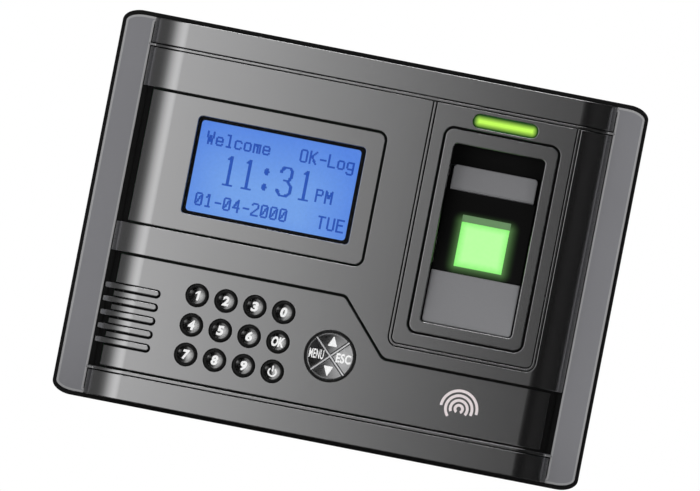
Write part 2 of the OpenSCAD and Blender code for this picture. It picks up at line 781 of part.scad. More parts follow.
module network_jack() color("silver") difference() {
    block(network_x - 8, board_y[1], connector_low, network_x + 8, -7.5, connector_low + 21);
    block(network_x - 5.9, -18, connector_low - 1, network_x + 5.9, -10.6, connector_low + 13);
    block(network_x - 3, -11, connector_low - 1, network_x + 3, -9, connector_low + 8);
}
module terminal_block() color("green") difference() {
    block(terminal_x - 12.5, board_y[1], connector_low, terminal_x + 12.5, -10.5, connector_low + 10);
    for (i = [-2 : 2]) {
        block(terminal_x + 5 * i - 1.6, -17, connector_low - 1,
            terminal_x + 5 * i + 1.6, -13.4, connector_low + 7);
        peg(terminal_x + 5 * i, connector_low + 5, 1.7, -11.8, 0);
    }
}
module reset_button() color("white") {
    upright(reset_x, reset_y, 1.5, -42.5, -37.15);
    upright(reset_x, reset_y, 2.4, -38.4, -37.6);
}
module tamper_plunger() color("white") {
    peg(tamper_x, tamper_z, 1.4, -14, -plate_t - 0.02);
}
module board_screws() color("silver") {
    for (p = main_posts) mirrored_screw(p, board_y[0], 2.6, 1.2, 1.25, 7);
    for (p = lcd_posts) screw(p.x, p.y, lcd_board_y[1], 2, 1.1, 1, 5);
    for (p = keypad_posts) screw(p.x, p.y, keypad_board_y[1], 2, 1.1, 1, 4);
}
// A screw that points to the wall, its head's underside at y
module mirrored_screw(p, y, head_r, head_h, shank_r, reach) {
    translate([p.x, y, 0]) mirror([0, 1, 0]) screw(0, p.y, 0, head_r, head_h, shank_r, reach);
}

// A flat cable folded back on itself, hanging below height top between two depths
module looped_ribbon(x0, x1, front, back, top, low) {
    r = (back - front) / 2;
    t = 0.3;
    translate([x0, (front + back) / 2, 0]) rotate([90, 0, 90]) linear_extrude(x1 - x0) {
        polygon(concat([[-r, top], [t - r, top]], turned([0, low], r - t, 180, 360, 12),
            [[r - t, top], [r, top]], turned([0, low], r, 360, 180, 12)));
    }
}
module ribbon_cables() color("beige") {
    looped_ribbon(-50, -34, lcd_board_y[1] + 0.05, board_y[0] - 0.05, -2, -12);
    looped_ribbon(-42, -30, keypad_board_y[1] + 0.05, board_y[0] - 0.05, -46, -53);
    in_tray() {
        block(-21, 14.1, 24.5, -13.6, 14.4, 35.5);
        block(-21, 9.4, 24.5, -20.7, 14.2, 35.5);
    }
}

for (i = [0 : 11]) key(i);
for (i = [0 : 3]) nav_key(i);
front_cover();
rear_shell();
wall_plate();
locking_screw();
case_screws();
board_screws();
panel_seals();
display_bezel();
display_window();
display_gasket();
lcd_frame();
lcd_glass();
lcd_backlight();
lcd_board();
keypad_bezel();
keypad_mat();
keypad_board();
nav_ring();
nav_cross();
speaker_grille();
speaker_frame();
speaker_cone();
speaker_magnet();
sensor_bezel();
sensor_well();
finger_ramp();
finger_stop();
sensor_housing();
sensor_glass();
sensor_board();
sensor_camera();
status_lens();
status_board();
main_board();
board_components();
board_switches();
relay();
coin_cell();
power_jack();
network_jack();
terminal_block();
reset_button();
tamper_plunger();
ribbon_cables();
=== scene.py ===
import math
import bmesh
import bpy
import numpy as np
from mathutils import Matrix, Vector


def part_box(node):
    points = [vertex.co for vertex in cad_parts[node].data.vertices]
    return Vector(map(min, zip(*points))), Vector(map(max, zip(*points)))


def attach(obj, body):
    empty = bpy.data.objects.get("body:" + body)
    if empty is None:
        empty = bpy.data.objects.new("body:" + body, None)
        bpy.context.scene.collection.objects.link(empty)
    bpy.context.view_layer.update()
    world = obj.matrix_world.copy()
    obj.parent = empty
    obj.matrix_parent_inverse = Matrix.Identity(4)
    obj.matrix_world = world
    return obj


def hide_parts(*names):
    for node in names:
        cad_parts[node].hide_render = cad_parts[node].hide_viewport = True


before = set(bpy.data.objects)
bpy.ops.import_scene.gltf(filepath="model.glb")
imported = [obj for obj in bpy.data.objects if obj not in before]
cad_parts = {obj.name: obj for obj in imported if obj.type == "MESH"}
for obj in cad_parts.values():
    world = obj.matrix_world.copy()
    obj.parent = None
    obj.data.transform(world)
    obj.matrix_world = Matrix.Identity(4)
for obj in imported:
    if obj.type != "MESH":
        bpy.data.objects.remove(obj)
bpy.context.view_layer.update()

# Everything is drawn in millimetres, with the face towards -Y, and made in metres
MM = 0.001
HOUSING = "housing"


def cad(node):
    """A CAD node's lowest and highest corner, in millimetres."""
    low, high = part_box(node)
    return low / MM, high / MM


# ---- dimensions
COVER_LOW, COVER_HIGH = cad("front_cover")
SHELL_LOW = cad("rear_shell")[0]

# The arch: a wide arc over the face and a tight one down to each side strip
CROWN = COVER_LOW.y
FACE_R = 1080.0
EDGE_R = 13.0
ARCH_HALF = 81.4
ARCH_TOP = COVER_HIGH.z
STRIP_Y, STRIP_GAP = -24.5, 0.3
COVER_BACK = SHELL_LOW.y
FACE_CENTRE = CROWN + FACE_R
FACE_TURN = math.asin((ARCH_HALF - EDGE_R) / (FACE_R - EDGE_R))
FILLET_X = ARCH_HALF - EDGE_R
FILLET_Y = FACE_CENTRE - (FACE_R - EDGE_R) * math.cos(FACE_TURN)
FACE_LEN = FACE_R * FACE_TURN
FILLET_LEN = EDGE_R * (math.pi / 2 - FACE_TURN)
FOOT = FACE_LEN + EDGE_R * (math.acos((FILLET_Y - STRIP_Y - STRIP_GAP) / EDGE_R) - FACE_TURN)

# Depths below the arch
PANEL_DROP, SENSOR_DROP = 0.8, 0.2
PLATE_BACK = 0.95
SKIN_FRONT, SKIN_BACK = 0.85, 2.4

# Seams between panels and fine lines in the face, each as half of its width
JOINT = 0.4
LINE = 0.175
TINY = 0.15
DISPLAY_RIGHT, DISPLAY_LOW, DISPLAY_HIGH, DISPLAY_R = 4.9, -5.0, 42.05, 3
BAND_TOP, BAND_LOW, BAND_STEP = -15.95, -55.8, -34.9
SLOPE_TOP, SLOPE_TOP_R = (1.42, BAND_TOP), 3
SLOPE_LOW, SLOPE_LOW_R = (18.2, BAND_STEP), 4
RIDGE_LEFT, RIDGE_RIGHT, RIDGE_LOW = 19.1, 69.8, -29.2
RIDGE_HALF, RIDGE_R = 0.55, 3.0
TOP_LINES = (57.3, 56.15)
LOW_LINE = -57.4

# Openings. Boxes are x0, z0, x1, z1 and sizes are width, height, corner radius
SENSOR_BOX, SENSOR_R = (24.35, -23.8, 64.75, 48.45), 3.2
WELL_BOX, WELL_R = (28.2, -19.6, 60.5, 43.3), 1.5
WINDOW, WINDOW_SIZE = (-30.7, 18.55), (59, 34.3, 1.5)
STATUS, STATUS_HOLE, STATUS_SIZE = (44.5, 52.2), (23, 5, 2.49), (22.5, 4.5, 2.24)
LIP_HOLE = (-88.5, -63.65, 88.5, 63.65)
GLASS_X = 44.5


def arch_place(s, depth):
    """Where the point at length s round the arch, sunk by depth, lies: (x, y, turn of the surface)."""
    side, run = math.copysign(1, s), abs(s)
    if run <= FACE_LEN:
        a = run / FACE_R
        return side * (FACE_R - depth) * math.sin(a), FACE_CENTRE - (FACE_R - depth) * math.cos(a), side * a
    if run <= FACE_LEN + FILLET_LEN:
        a = FACE_TURN + (run - FACE_LEN) / EDGE_R
        return (side * (FILLET_X + (EDGE_R - depth) * math.sin(a)),
                FILLET_Y - (EDGE_R - depth) * math.cos(a), side * a)
    down = run - FACE_LEN - FILLET_LEN
    return side * (ARCH_HALF - depth), FILLET_Y + down, side * math.pi / 2


# ---- outlines
def turned(cx, cz, r, start, end, steps):
    """Points along an arc, angles in degrees."""
    angles = [math.radians(start + (end - start) * i / steps) for i in range(steps + 1)]
    return [(cx + r * math.cos(a), cz + r * math.sin(a)) for a in angles]


def disc(cx, cz, r, steps=48):
    return turned(cx, cz, r, 0, 360 * (steps - 1) / steps, steps - 1)


def outline(path, radii, grow=0.0, steps=10):
    """An anticlockwise path with rounded corners, moved outwards by grow."""
    points = []
    for i, b in enumerate(path):
        a, b, c = Vector(path[i - 1]), Vector(b), Vector(path[(i + 1) % len(path)])
        u, w = (b - a).normalized(), (c - b).normalized()
        side_u, side_w = Vector((u.y, -u.x)), Vector((w.y, -w.x))
        way = 1 if u.x * w.y - u.y * w.x > 0 else -1
        radius = max(0.03, radii[i] + way * grow)
        bend = math.acos(max(-1, min(1, u.dot(w))))
        tip = b + grow * (side_u + side_w) / (1 + u.dot(w))
        centre = tip - u * radius * math.tan(bend / 2) - way * side_u * radius
        start = math.degrees(math.atan2(side_u.y, side_u.x)) + (0 if way > 0 else 180)
        count = steps if radius > 0.2 else 2
        points += turned(centre.x, centre.y, radius, start, start + way * math.degrees(bend), count)
    return points


def box_path(x0, z0, x1, z1):
    return [(x0, z0), (x1, z0), (x1, z1), (x0, z1)]


def rounded(x0, z0, x1, z1, r, grow=0.0):
    return outline(box_path(x0, z0, x1, z1), [r] * 4, grow)


def oval_box(half_w, half_h, rx, rz, steps=12):
    """A rectangle about the middle of the case, with oval corners."""
    points = []
    for quarter_turn in range(4):
        right = 1 if quarter_turn in (0, 3) else -1
        up = 1 if quarter_turn < 2 else -1
        for i in range(steps + 1):
            a = math.pi / 2 * (quarter_turn + i / steps)
            points.append((right * (half_w - rx) + rx * math.cos(a), up * (half_h - rz) + rz * math.sin(a)))
    return points


def centred(cx, cz, w, h, r, grow=0.0):
    return rounded(cx - w / 2, cz - h / 2, cx + w / 2, cz + h / 2, r, grow)


# ---- mesh work
def plate(loops, front, back, bevel=0.2, rounds=2):
    """A flat solid from closed loops in x and z, from y = front to y = back, with rounded edges."""
    curve = bpy.data.curves.new("plate", "CURVE")
    curve.dimensions = "2D"
    curve.fill_mode = "BOTH"
    curve.extrude = (back - front) / 2 - bevel
    curve.bevel_depth = bevel
    curve.bevel_resolution = rounds
    curve.offset = -bevel
    for points in loops:
        spline = curve.splines.new("POLY")
        spline.points.add(len(points) - 1)
        for p, (x, z) in zip(spline.points, points):
            p.co = (x, z, 0, 1)
        spline.use_cyclic_u = True
    bm = mesh_of_curve(curve, 0.002)
    bmesh.ops.dissolve_degenerate(bm, edges=bm.edges, dist=0.001)
    middle = (front + back) / 2
    for v in bm.verts:
        v.co = (v.co.x, middle - v.co.z, v.co.y)
    return bm


def link(obj):
    bpy.context.scene.collection.objects.link(obj)


def finished_mesh(holder):
    """The mesh that a new object's data and modifiers give. The object itself goes."""
    link(holder)
    bpy.context.view_layer.update()
    dg = bpy.context.evaluated_depsgraph_get()
    mesh = bpy.data.meshes.new_from_object(holder.evaluated_get(dg))
    bpy.data.objects.remove(holder)
    return mesh


def mesh_of_curve(curve, merge):
    """A bmesh of a curve or text, with points closer than merge joined, as the caps' to the sides'."""
    mesh = finished_mesh(bpy.data.objects.new("holder", curve))
    bm = bmesh.new()
    bm.from_mesh(mesh)
    bmesh.ops.remove_doubles(bm, verts=bm.verts, dist=merge)
    bpy.data.curves.remove(curve)
    bpy.data.meshes.remove(mesh)
    return bm


def slice_mesh(bm, places, axis):
    """Cuts every face at the given places along one axis, so that it can bend there."""
    normal = Vector((0, 0, 0))
    normal[axis] = 1
    for place in places:
        bmesh.ops.bisect_plane(bm, geom=bm.verts[:] + bm.edges[:] + bm.faces[:],
                               dist=0.0005, plane_co=normal * place, plane_no=normal)


def arch_cuts():
    """Where a flat drawing is cut before it bends: in wide steps on the face and narrow ones beside it."""
    face = [i * 4.0 for i in range(-17, 18)]
    round_part = [FACE_LEN + FILLET_LEN * i / 12 for i in range(13)]
    return face + round_part + [-s for s in round_part]


def bent_parts(parts):
    """Several flat solids as one, ready to bend round the arch."""
    bm = join(parts)
    slice_mesh(bm, arch_cuts(), 0)
    return bm


def join(parts):
    """One bmesh from several."""
    whole = bmesh.new()
    for bm in parts:
        mesh = bpy.data.meshes.new("part")
        bm.to_mesh(mesh)
        whole.from_mesh(mesh)
        bm.free()
        bpy.data.meshes.remove(mesh)
    return whole


def shaded_mesh(bm, name, sharp=38, bend=False):
    """A mesh in metres with clean shading. bend rolls the flat drawing round the arch with its normals."""
    bmesh.ops.recalc_face_normals(bm, faces=bm.faces)
    mesh = bpy.data.meshes.new(name)
    bm.to_mesh(mesh)
    bm.free()
    for p in mesh.polygons:
        p.use_smooth = True
    mesh.set_sharp_from_angle(angle=math.radians(sharp))
    holder = bpy.data.objects.new("holder", mesh)
    weigh = holder.modifiers.new("weigh", "WEIGHTED_NORMAL")
    weigh.keep_sharp = True
    weigh.weight = 100
    done = finished_mesh(holder)
    bpy.data.meshes.remove(mesh)
    done.name = name
    co = np.array([v.co for v in done.vertices]).reshape(-1, 3)
    if bend:
        normals = np.array([n.vector for n in done.corner_normals]).reshape(-1, 3)
        corner = np.array([c.vertex_index for c in done.loops])
        placed = np.array([arch_place(s, depth) for s, depth, _ in co])
        turn = placed[corner, 2]
        across, inward = normals[:, 0].copy(), normals[:, 1].copy()
        normals[:, 0] = across * np.cos(turn) - inward * np.sin(turn)
        normals[:, 1] = across * np.sin(turn) + inward * np.cos(turn)
        co[:, 0], co[:, 1] = placed[:, 0], placed[:, 1]
    done.vertices.foreach_set("co", (co * MM).ravel())
    done.update()
    if bend:
        done.normals_split_custom_set([tuple(n) for n in normals])
        done.update()
    return done


def piece(name, bm, material, body=HOUSING, nodes=(), bend=False, sharp=38):
    """Makes a finished piece that rides on a body and stands for the CAD nodes named."""
    mesh = shaded_mesh(bm, name, sharp, bend)
    obj = bpy.data.objects.new(name, mesh)
    link(obj)
    mesh.materials.append(material)
    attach(obj, body)
    if nodes:
        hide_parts(*nodes)
    return obj


def second_look(obj, material, chosen):
    """Gives a second material to the faces that chosen picks."""
    obj.data.materials.append(material)
    for p in obj.data.polygons:
        if chosen(p):
            p.material_index = 1


def soften(node, material, width=0.2, segments=2, sharp=35, body=HOUSING):
    """A copy of a CAD node with its flat faces joined up and its edges rounded."""
    bm = bmesh.new()
    bm.from_mesh(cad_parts[node].data)
    for v in bm.verts:
        v.co /= MM
    bmesh.ops.remove_doubles(bm, verts=bm.verts, dist=0.002)
    bmesh.ops.dissolve_limit(bm, angle_limit=math.radians(0.6), verts=bm.verts, edges=bm.edges)
    edges = [e for e in bm.edges if len(e.link_faces) == 2 and e.calc_face_angle(0) > math.radians(sharp)]
    bmesh.ops.bevel(bm, geom=edges, offset=width, segments=segments, profile=0.5,
                    affect="EDGES", clamp_overlap=True)
    return piece(node + "_body", bm, material, body, [node], sharp=sharp)


# ---- shader nodes
def settings(node, **values):
    """Sets a node's inputs. An underscore stands for a space in an input's name."""
    for name, value in values.items():
        node.inputs[name.replace("_", " ")].default_value = value


def noise(tree, where, scale, detail=3.0, stretch=None):
    """Noise over the object's own coordinates, as a value."""
    tex = tree.nodes.new("ShaderNodeTexNoise")
    settings(tex, Scale=scale, Detail=detail)
    source = where.outputs["Object"]
    if stretch:
        mapping = tree.nodes.new("ShaderNodeMapping")
        settings(mapping, Scale=stretch)
        tree.links.new(source, mapping.inputs["Vector"])
        source = mapping.outputs["Vector"]
    tree.links.new(source, tex.inputs["Vector"])
    return tex.outputs["Fac"]


def spread(tree, source, low, high, from_low=0.35, from_high=0.65):
    """Maps a value from one range to another. By default the first is the range that noise mostly fills."""
    node = tree.nodes.new("ShaderNodeMapRange")
    settings(node, From_Min=from_low, From_Max=from_high, To_Min=low, To_Max=high)
    tree.links.new(source, node.inputs["Value"])
    return node.outputs["Result"]


def ramp(tree, source, stops):
    """A colour for a value from 0 to 1. stops are (place, colour)."""
    node = tree.nodes.new("ShaderNodeValToRGB")
    elements = node.color_ramp.elements
    while len(elements) < len(stops):
        elements.new(0.5)
    for element, (place, colour) in zip(elements, stops):
        element.position = place
        element.color = (*colour, 1)
    tree.links.new(source, node.inputs["Fac"])
    return node.outputs["Color"]


def calc(tree, operation, *terms):
    """The result of a Math node. Each term is a number or another node's output."""
    node = tree.nodes.new("ShaderNodeMath")
    node.operation = operation
    for socket, term in zip(node.inputs, terms):
        if isinstance(term, (int, float)):
            socket.default_value = term
        else:
            tree.links.new(term, socket)
    return node.outputs["Value"]


def mixed(tree, way, one, two):
    """Two colours put together by a blend, MULTIPLY for one."""
    node = tree.nodes.new("ShaderNodeMix")
    node.data_type = "RGBA"
    node.blend_type = way
    settings(node, Factor=1.0)
    tree.links.new(one, node.inputs["A"])
    tree.links.new(two, node.inputs["B"])
    return node.outputs["Result"]


# ---- materials
def new_material(name):
    material = bpy.data.materials.new(name)
    material.use_nodes = True
    tree = material.node_tree
    return material, tree, tree.nodes["Principled BSDF"], tree.nodes.new("ShaderNodeTexCoord")


def surface(name, colour, rough=0.4, metal=0.0, vary=0.06, grain=1400, bump=0.02,
            stretch=None, specular=0.5, rough_vary=0.05):
    """A moulded, painted or metal surface: its colour and gloss vary a little, and it has a fine grain."""
    material, tree, shader, where = new_material(name)
    broad = noise(tree, where, 38, 2.0)
    fine = noise(tree, where, grain, 4.0, stretch)
    blend = tree.nodes.new("ShaderNodeMix")
    blend.data_type = "FLOAT"
    settings(blend, Factor=0.5)
    tree.links.new(broad, blend.inputs["A"])
    tree.links.new(fine, blend.inputs["B"])
    tones = ramp(tree, blend.outputs["Result"], [(0.36, [c * (1 - vary) for c in colour]),
                                                 (0.64, [min(1, c * (1 + vary)) for c in colour])])
    tree.links.new(tones, shader.inputs["Base Color"])
    tree.links.new(spread(tree, fine, rough - rough_vary, rough + rough_vary), shader.inputs["Roughness"])
    if bump:
        bumps = tree.nodes.new("ShaderNodeBump")
        settings(bumps, Strength=0.35, Distance=bump * MM)
        tree.links.new(fine, bumps.inputs["Height"])
        tree.links.new(bumps.outputs["Normal"], shader.inputs["Normal"])
    settings(shader, Metallic=metal, Specular_IOR_Level=specular)
    return material


def box_distance(tree, where, centre, half):
    """Distance in metres outside a box in x and z, zero inside it."""
    split = tree.nodes.new("ShaderNodeSeparateXYZ")
    tree.links.new(where.outputs["Object"], split.inputs["Vector"])
    squares = []
    for axis, middle, reach in (("X", centre[0], half[0]), ("Z", centre[1], half[1])):
        away = calc(tree, "ABSOLUTE", calc(tree, "SUBTRACT", split.outputs[axis], middle * MM))
        outside = calc(tree, "MAXIMUM", calc(tree, "SUBTRACT", away, reach * MM), 0)
        squares.append(calc(tree, "POWER", outside, 2))
    return calc(tree, "SQRT", calc(tree, "ADD", *squares))


def glowing(name, body_colour, near, far, centre, half, reach, rough=0.3, curve=1.0):
    """A surface that glows with colour near inside a box in x and z, fading to far over reach millimetres.

    A curve above 1 makes the glow fall off faster beside the box.
    """
    material, tree, shader, where = new_material(name)
    closeness = spread(tree, box_distance(tree, where, centre, half), 1, 0, 0, reach * MM)
    glow = ramp(tree, calc(tree, "POWER", closeness, curve), [(0.0, far), (1.0, near)])
    grain = noise(tree, where, 900)
    mottled = mixed(tree, "MULTIPLY", glow, spread(tree, grain, 0.97, 1.01))
    tree.links.new(mottled, shader.inputs["Emission Color"])
    tint = ramp(tree, grain, [(0.0, [c * 0.9 for c in body_colour]), (1.0, body_colour)])
    tree.links.new(tint, shader.inputs["Base Color"])
    settings(shader, Emission_Strength=1.0, Roughness=rough, Specular_IOR_Level=0.15)
    return material


def clear_window(name):
    """Clear plastic, seen only by a faint gloss."""
    material, tree, shader, where = new_material(name)
    haze = noise(tree, where, 60, 2.0)
    tree.links.new(spread(tree, haze, 0.04, 0.08), shader.inputs["Roughness"])
    tint = ramp(tree, haze, [(0.0, (0.002, 0.002, 0.003)), (1.0, (0.004, 0.004, 0.005))])
    tree.links.new(tint, shader.inputs["Base Color"])
    settings(shader, Alpha=0.05, Specular_IOR_Level=0.3)
    return material


PAINT = {"vary": 0.02, "grain": 2600, "bump": 0.004}
SMOOTH = {"grain": 1800, "bump": 0.003}
BLACK = (0.004, 0.004, 0.004)
COVER = surface("cover_grey", (0.50, 0.50, 0.504), rough=0.25, rough_vary=0.02, metal=1.0, **PAINT)
# Painted shade: a darker metal for the arch where it runs down to the strips, so that its reflection there
# stays dark
COVER_FOOT_PAINTED_SHADE = surface("cover_foot_painted_shade", (0.2, 0.2, 0.202), rough=0.3, metal=1.0, **PAINT)
STRIP = surface("strip_grey", (0.185, 0.185, 0.197), rough=0.5, specular=0.2, **PAINT)
# Painted highlight: a lighter grey for the strips' bevelled edges, so that they show a light rim all round
STRIP_EDGE_PAINTED_HIGHLIGHT = surface("strip_edge_painted_highlight", (0.29, 0.29, 0.295), rough=0.45, specular=0.25, **PAINT)
TRAY = surface("tray_grey", (0.195, 0.195, 0.203), rough=0.5, vary=0.03, grain=2200, bump=0.006,
               specular=0.2)
SHELL = surface("shell_black", BLACK, rough=0.5, vary=0.15, grain=1100, specular=0.2)
# Black rubber for the seals and gaskets, also used as painted shade on the skin under the fine lines and on
# the ribs behind the speaker slots
SEAL_AND_PAINTED_SHADE = surface("seal_rubber", (0.006, 0.006, 0.006), rough=0.8, vary=0.2, grain=900, specular=0.1)
WELL = surface("well_black", BLACK, rough=0.6, vary=0.2, grain=1200, bump=0.01, specular=0.15)
KEY = surface("key_black", BLACK, rough=0.3, vary=0.08, specular=0.3, **SMOOTH)
KEY_DISH = surface("key_dish", (0.5, 0.5, 0.5), rough=0.24, metal=1.0, vary=0.04, **SMOOTH)
NAV = surface("nav_dark", (0.45, 0.45, 0.455), rough=0.3, metal=1.0, vary=0.04, **SMOOTH)
RING = surface("nav_ring_black", (0.006, 0.006, 0.006), rough=0.35, vary=0.1, specular=0.3)
SILVER = surface("nav_silver", (0.62, 0.62, 0.63), rough=0.35, metal=0.3, vary=0.04, **SMOOTH)
INK = surface("white_ink", (0.9, 0.9, 0.9), rough=0.5, vary=0.03, grain=3000, bump=0.002)
EMBLEM = surface("emblem_ink", (0.74, 0.66, 0.67), rough=0.5, vary=0.05, grain=3000, bump=0.002)
STEEL = surface("plate_steel", (0.5, 0.51, 0.52), rough=0.34, metal=1.0, vary=0.025, grain=1500, bump=0.006,
                stretch=(1, 1, 0.08))
SCREW = surface("screw_steel", (0.52, 0.52, 0.53), rough=0.28, metal=1.0, vary=0.08, grain=900, bump=0.006)
FRAME_BLACK = surface("frame_black", BLACK, rough=0.5, vary=0.2, specular=0.2)
WHITE = surface("button_white", (0.75, 0.75, 0.73), rough=0.4, vary=0.03)
BOARD = surface("board_green", (0.01, 0.13, 0.045), rough=0.35, vary=0.25, grain=420)
MAT_GREY = surface("silicone_grey", (0.5, 0.5, 0.51), rough=0.6, vary=0.04)
SPEAKER = surface("speaker_black", (0.02, 0.02, 0.02), rough=0.55, vary=0.15)
CONE = surface("cone_paper", (0.03, 0.03, 0.03), rough=0.8, vary=0.3, grain=700, bump=0.03)
CHIP = surface("chip_black", (0.02, 0.02, 0.022), rough=0.55, vary=0.15)
RELAY = surface("relay_blue", (0.02, 0.09, 0.4), rough=0.3, vary=0.06)
JACK = surface("jack_black", (0.02, 0.02, 0.02), rough=0.45, vary=0.15)
TIN = surface("shield_steel", (0.55, 0.55, 0.56), rough=0.3, metal=1.0, vary=0.06, grain=600, bump=0.006,
              stretch=(0.1, 1, 1))
TERMINAL = surface("terminal_green", (0.02, 0.25, 0.09), rough=0.4, vary=0.08)
RIBBON = surface("ribbon_white", (0.72, 0.72, 0.68), rough=0.45, vary=0.05, grain=300, stretch=(8, 0.2, 0.2))
# The glow of the display and of the green glass, and the green light from the glass painted onto the housing
# and the sill. Boxes are a centre and half sizes in x and z
LCD_GLOW = ((-33, 11), (13, 4), 21)
GLASS_MIDDLE = (GLASS_X, 9.4)
LCD = glowing("lcd_blue", (0.01, 0.02, 0.05), (0.18, 0.375, 0.85), (0.095, 0.245, 0.79), *LCD_GLOW)
LCD_INK = glowing("lcd_ink", (0.005, 0.01, 0.03), (0.03, 0.105, 0.50), (0.022, 0.085, 0.46), *LCD_GLOW)
GLASS = glowing("glass_green", (0.02, 0.05, 0.02), (0.48, 1.0, 0.355), (0.26, 0.88, 0.18),
                GLASS_MIDDLE, (6.0, 5.4), 2.6, 0.15)
# Painted light: the black housing glows green round the glass, standing in for the glass's light falling on
# it
HOUSING_PAINTED_GLOW = glowing("housing_painted_green_light", (0.003, 0.003, 0.003), (0.11, 0.25, 0.08), (0.0, 0.0, 0.0),
               GLASS_MIDDLE, (7.9, 7.4), 4.6, 0.6, 2.4)
# Painted light: the sill above the glass glows green, standing in for the glass's light falling on it
SILL = glowing("sill_painted_green_light", (0.09, 0.1, 0.09), (0.06, 0.17, 0.04), (0.04, 0.11, 0.03),
               (GLASS_X, 18.2), (7, 0.5), 3)
STATUS_GLOW = glowing("status_green", (0.01, 0.03, 0.01), (0.55, 1.0, 0.10), (0.012, 0.05, 0.008),
                      STATUS, (9.3, 0.35), 1.9, 0.25, 1.3)
WINDOW_CLEAR = clear_window("window_clear")


# ---- front cover
def offset_tip(a, b, c, grow):
    """Where the corner b of the path a, b, c goes when both of its sides move outwards by grow."""
    u, w = (Vector(b) - Vector(a)).normalized(), (Vector(c) - Vector(b)).normalized()
    sides = Vector((u.y + w.y, -u.x - w.x))
    tip = Vector(b) + grow * sides / (1 + u.dot(w))
    return tip.x, tip.y


LOW_TIP = offset_tip((FOOT, BAND_STEP), SLOPE_LOW, SLOPE_TOP, JOINT)
HIGH_TIP = offset_tip(SLOPE_LOW, SLOPE_TOP, (-FOOT, BAND_TOP), JOINT)
FACE_HOLES = [rounded(*SENSOR_BOX, SENSOR_R, JOINT), centred(*STATUS, *STATUS_HOLE)]
SKIN_INSET = 0.4
WALL_OUTER, WALL_INNER, WALL_SINK = 0.35, 2.6, 0.5
STRIP_BEVEL, STRIP_SQUASH = 0.75, 0.32
# A fin closes the step where the seams along the arch meet a strip. Its profile is in x and y
FIN = [(79.5, -29.95), (79.85, -29.95), (82.1, -24.6), (82.1, -24.2), (79.5, -24.2)]
FIN_HALF = 0.34
# How far out from the middle the painted shade on the arch starts
FOOT_SHADE_X = 79.6


def cover_outline(top, notch=(), notch_radii=()):
    """The cover up to height top, clear of the keypad panel and the display, with a notch in its top."""
    path = [(-FOOT, BAND_TOP + JOINT), HIGH_TIP, LOW_TIP, (FOOT, BAND_STEP + JOINT), (FOOT, top), *notch,
            (-FOOT, top), (-FOOT, DISPLAY_HIGH + JOINT), (DISPLAY_RIGHT + JOINT, DISPLAY_HIGH + JOINT),
            (DISPLAY_RIGHT + JOINT, DISPLAY_LOW - JOINT), (-FOOT, DISPLAY_LOW - JOINT)]
    radii = [TINY, SLOPE_TOP_R - JOINT, SLOPE_LOW_R + JOINT, TINY, TINY, *notch_radii,
             TINY, TINY, DISPLAY_R + JOINT, DISPLAY_R + JOINT, TINY]
    return outline(path, radii)


def ridge_path(grow, top):
    """The ridge round the sensor, down, along and up again, moved outwards by grow."""
    return [(RIDGE_LEFT - grow, top), (RIDGE_LEFT - grow, RIDGE_LOW - grow),
            (RIDGE_RIGHT + grow, RIDGE_LOW - grow), (RIDGE_RIGHT + grow, top)]


def ridge_radii(grow):
    return [TINY, RIDGE_R + grow, RIDGE_R + grow, TINY]


def cover_face():
    """The arched face as flat plates with fine lines between them."""
    top = TOP_LINES[1] - LINE
    out = RIDGE_HALF + LINE
    mid = RIDGE_HALF - LINE
    end_bevel, narrow_bevel, bevel = 0.25, 0.15, 0.2
    ridge = outline(ridge_path(mid, top) + ridge_path(-mid, top)[::-1], ridge_radii(mid) + ridge_radii(-mid))
    inside = outline(box_path(RIDGE_LEFT + out, RIDGE_LOW + out, RIDGE_RIGHT - out, top),
                     [RIDGE_R - out, RIDGE_R - out, TINY, TINY])
    plates = [
        ([rounded(-FOOT, TOP_LINES[0] + LINE, FOOT, ARCH_TOP, TINY)], end_bevel),
        ([rounded(-FOOT, TOP_LINES[1] + LINE, FOOT, TOP_LINES[0] - LINE, TINY)], narrow_bevel),
        ([rounded(-FOOT, LOW_LINE + LINE, FOOT, BAND_LOW - JOINT, TINY)], narrow_bevel),
        ([rounded(-FOOT, -ARCH_TOP, FOOT, LOW_LINE - LINE, TINY)], end_bevel),
        ([cover_outline(top, ridge_path(out, top)[::-1], ridge_radii(out))], bevel),
        ([ridge], narrow_bevel),
        ([inside, *FACE_HOLES], bevel),
    ]
    return bent_parts([plate(loops, 0, PLATE_BACK, rim) for loops, rim in plates])


def cover_skin():
    """A near-black skin at the bottom of the fine lines, painted shade in them."""
    upper = [cover_outline(ARCH_TOP - SKIN_INSET), *FACE_HOLES]
    lower = [rounded(-FOOT, SKIN_INSET - ARCH_TOP, FOOT, BAND_LOW - JOINT, TINY)]
    return bent_parts([plate(loops, SKIN_FRONT, SKIN_BACK, 0.05) for loops in (upper, lower)])


def plate_across(loop, low, high, bevel):
    """A flat solid from a closed loop in x and y, from z = low to z = high."""
    bm = plate([loop], low, high, bevel)
    for v in bm.verts:
        v.co = (v.co.x, v.co.z, v.co.y)
    return bm


def arch_end(low, high):
    """The wall that closes an end of the arch."""
    steps = [FOOT - (FOOT - FACE_LEN) * i / 16 for i in range(17)] + [FACE_LEN - 4 * i for i in range(1, 18)]
    runs = steps + [-s for s in reversed(steps)]
    return plate_across([arch_place(s, WALL_SINK)[:2] for s in runs], low, high, 0.25)


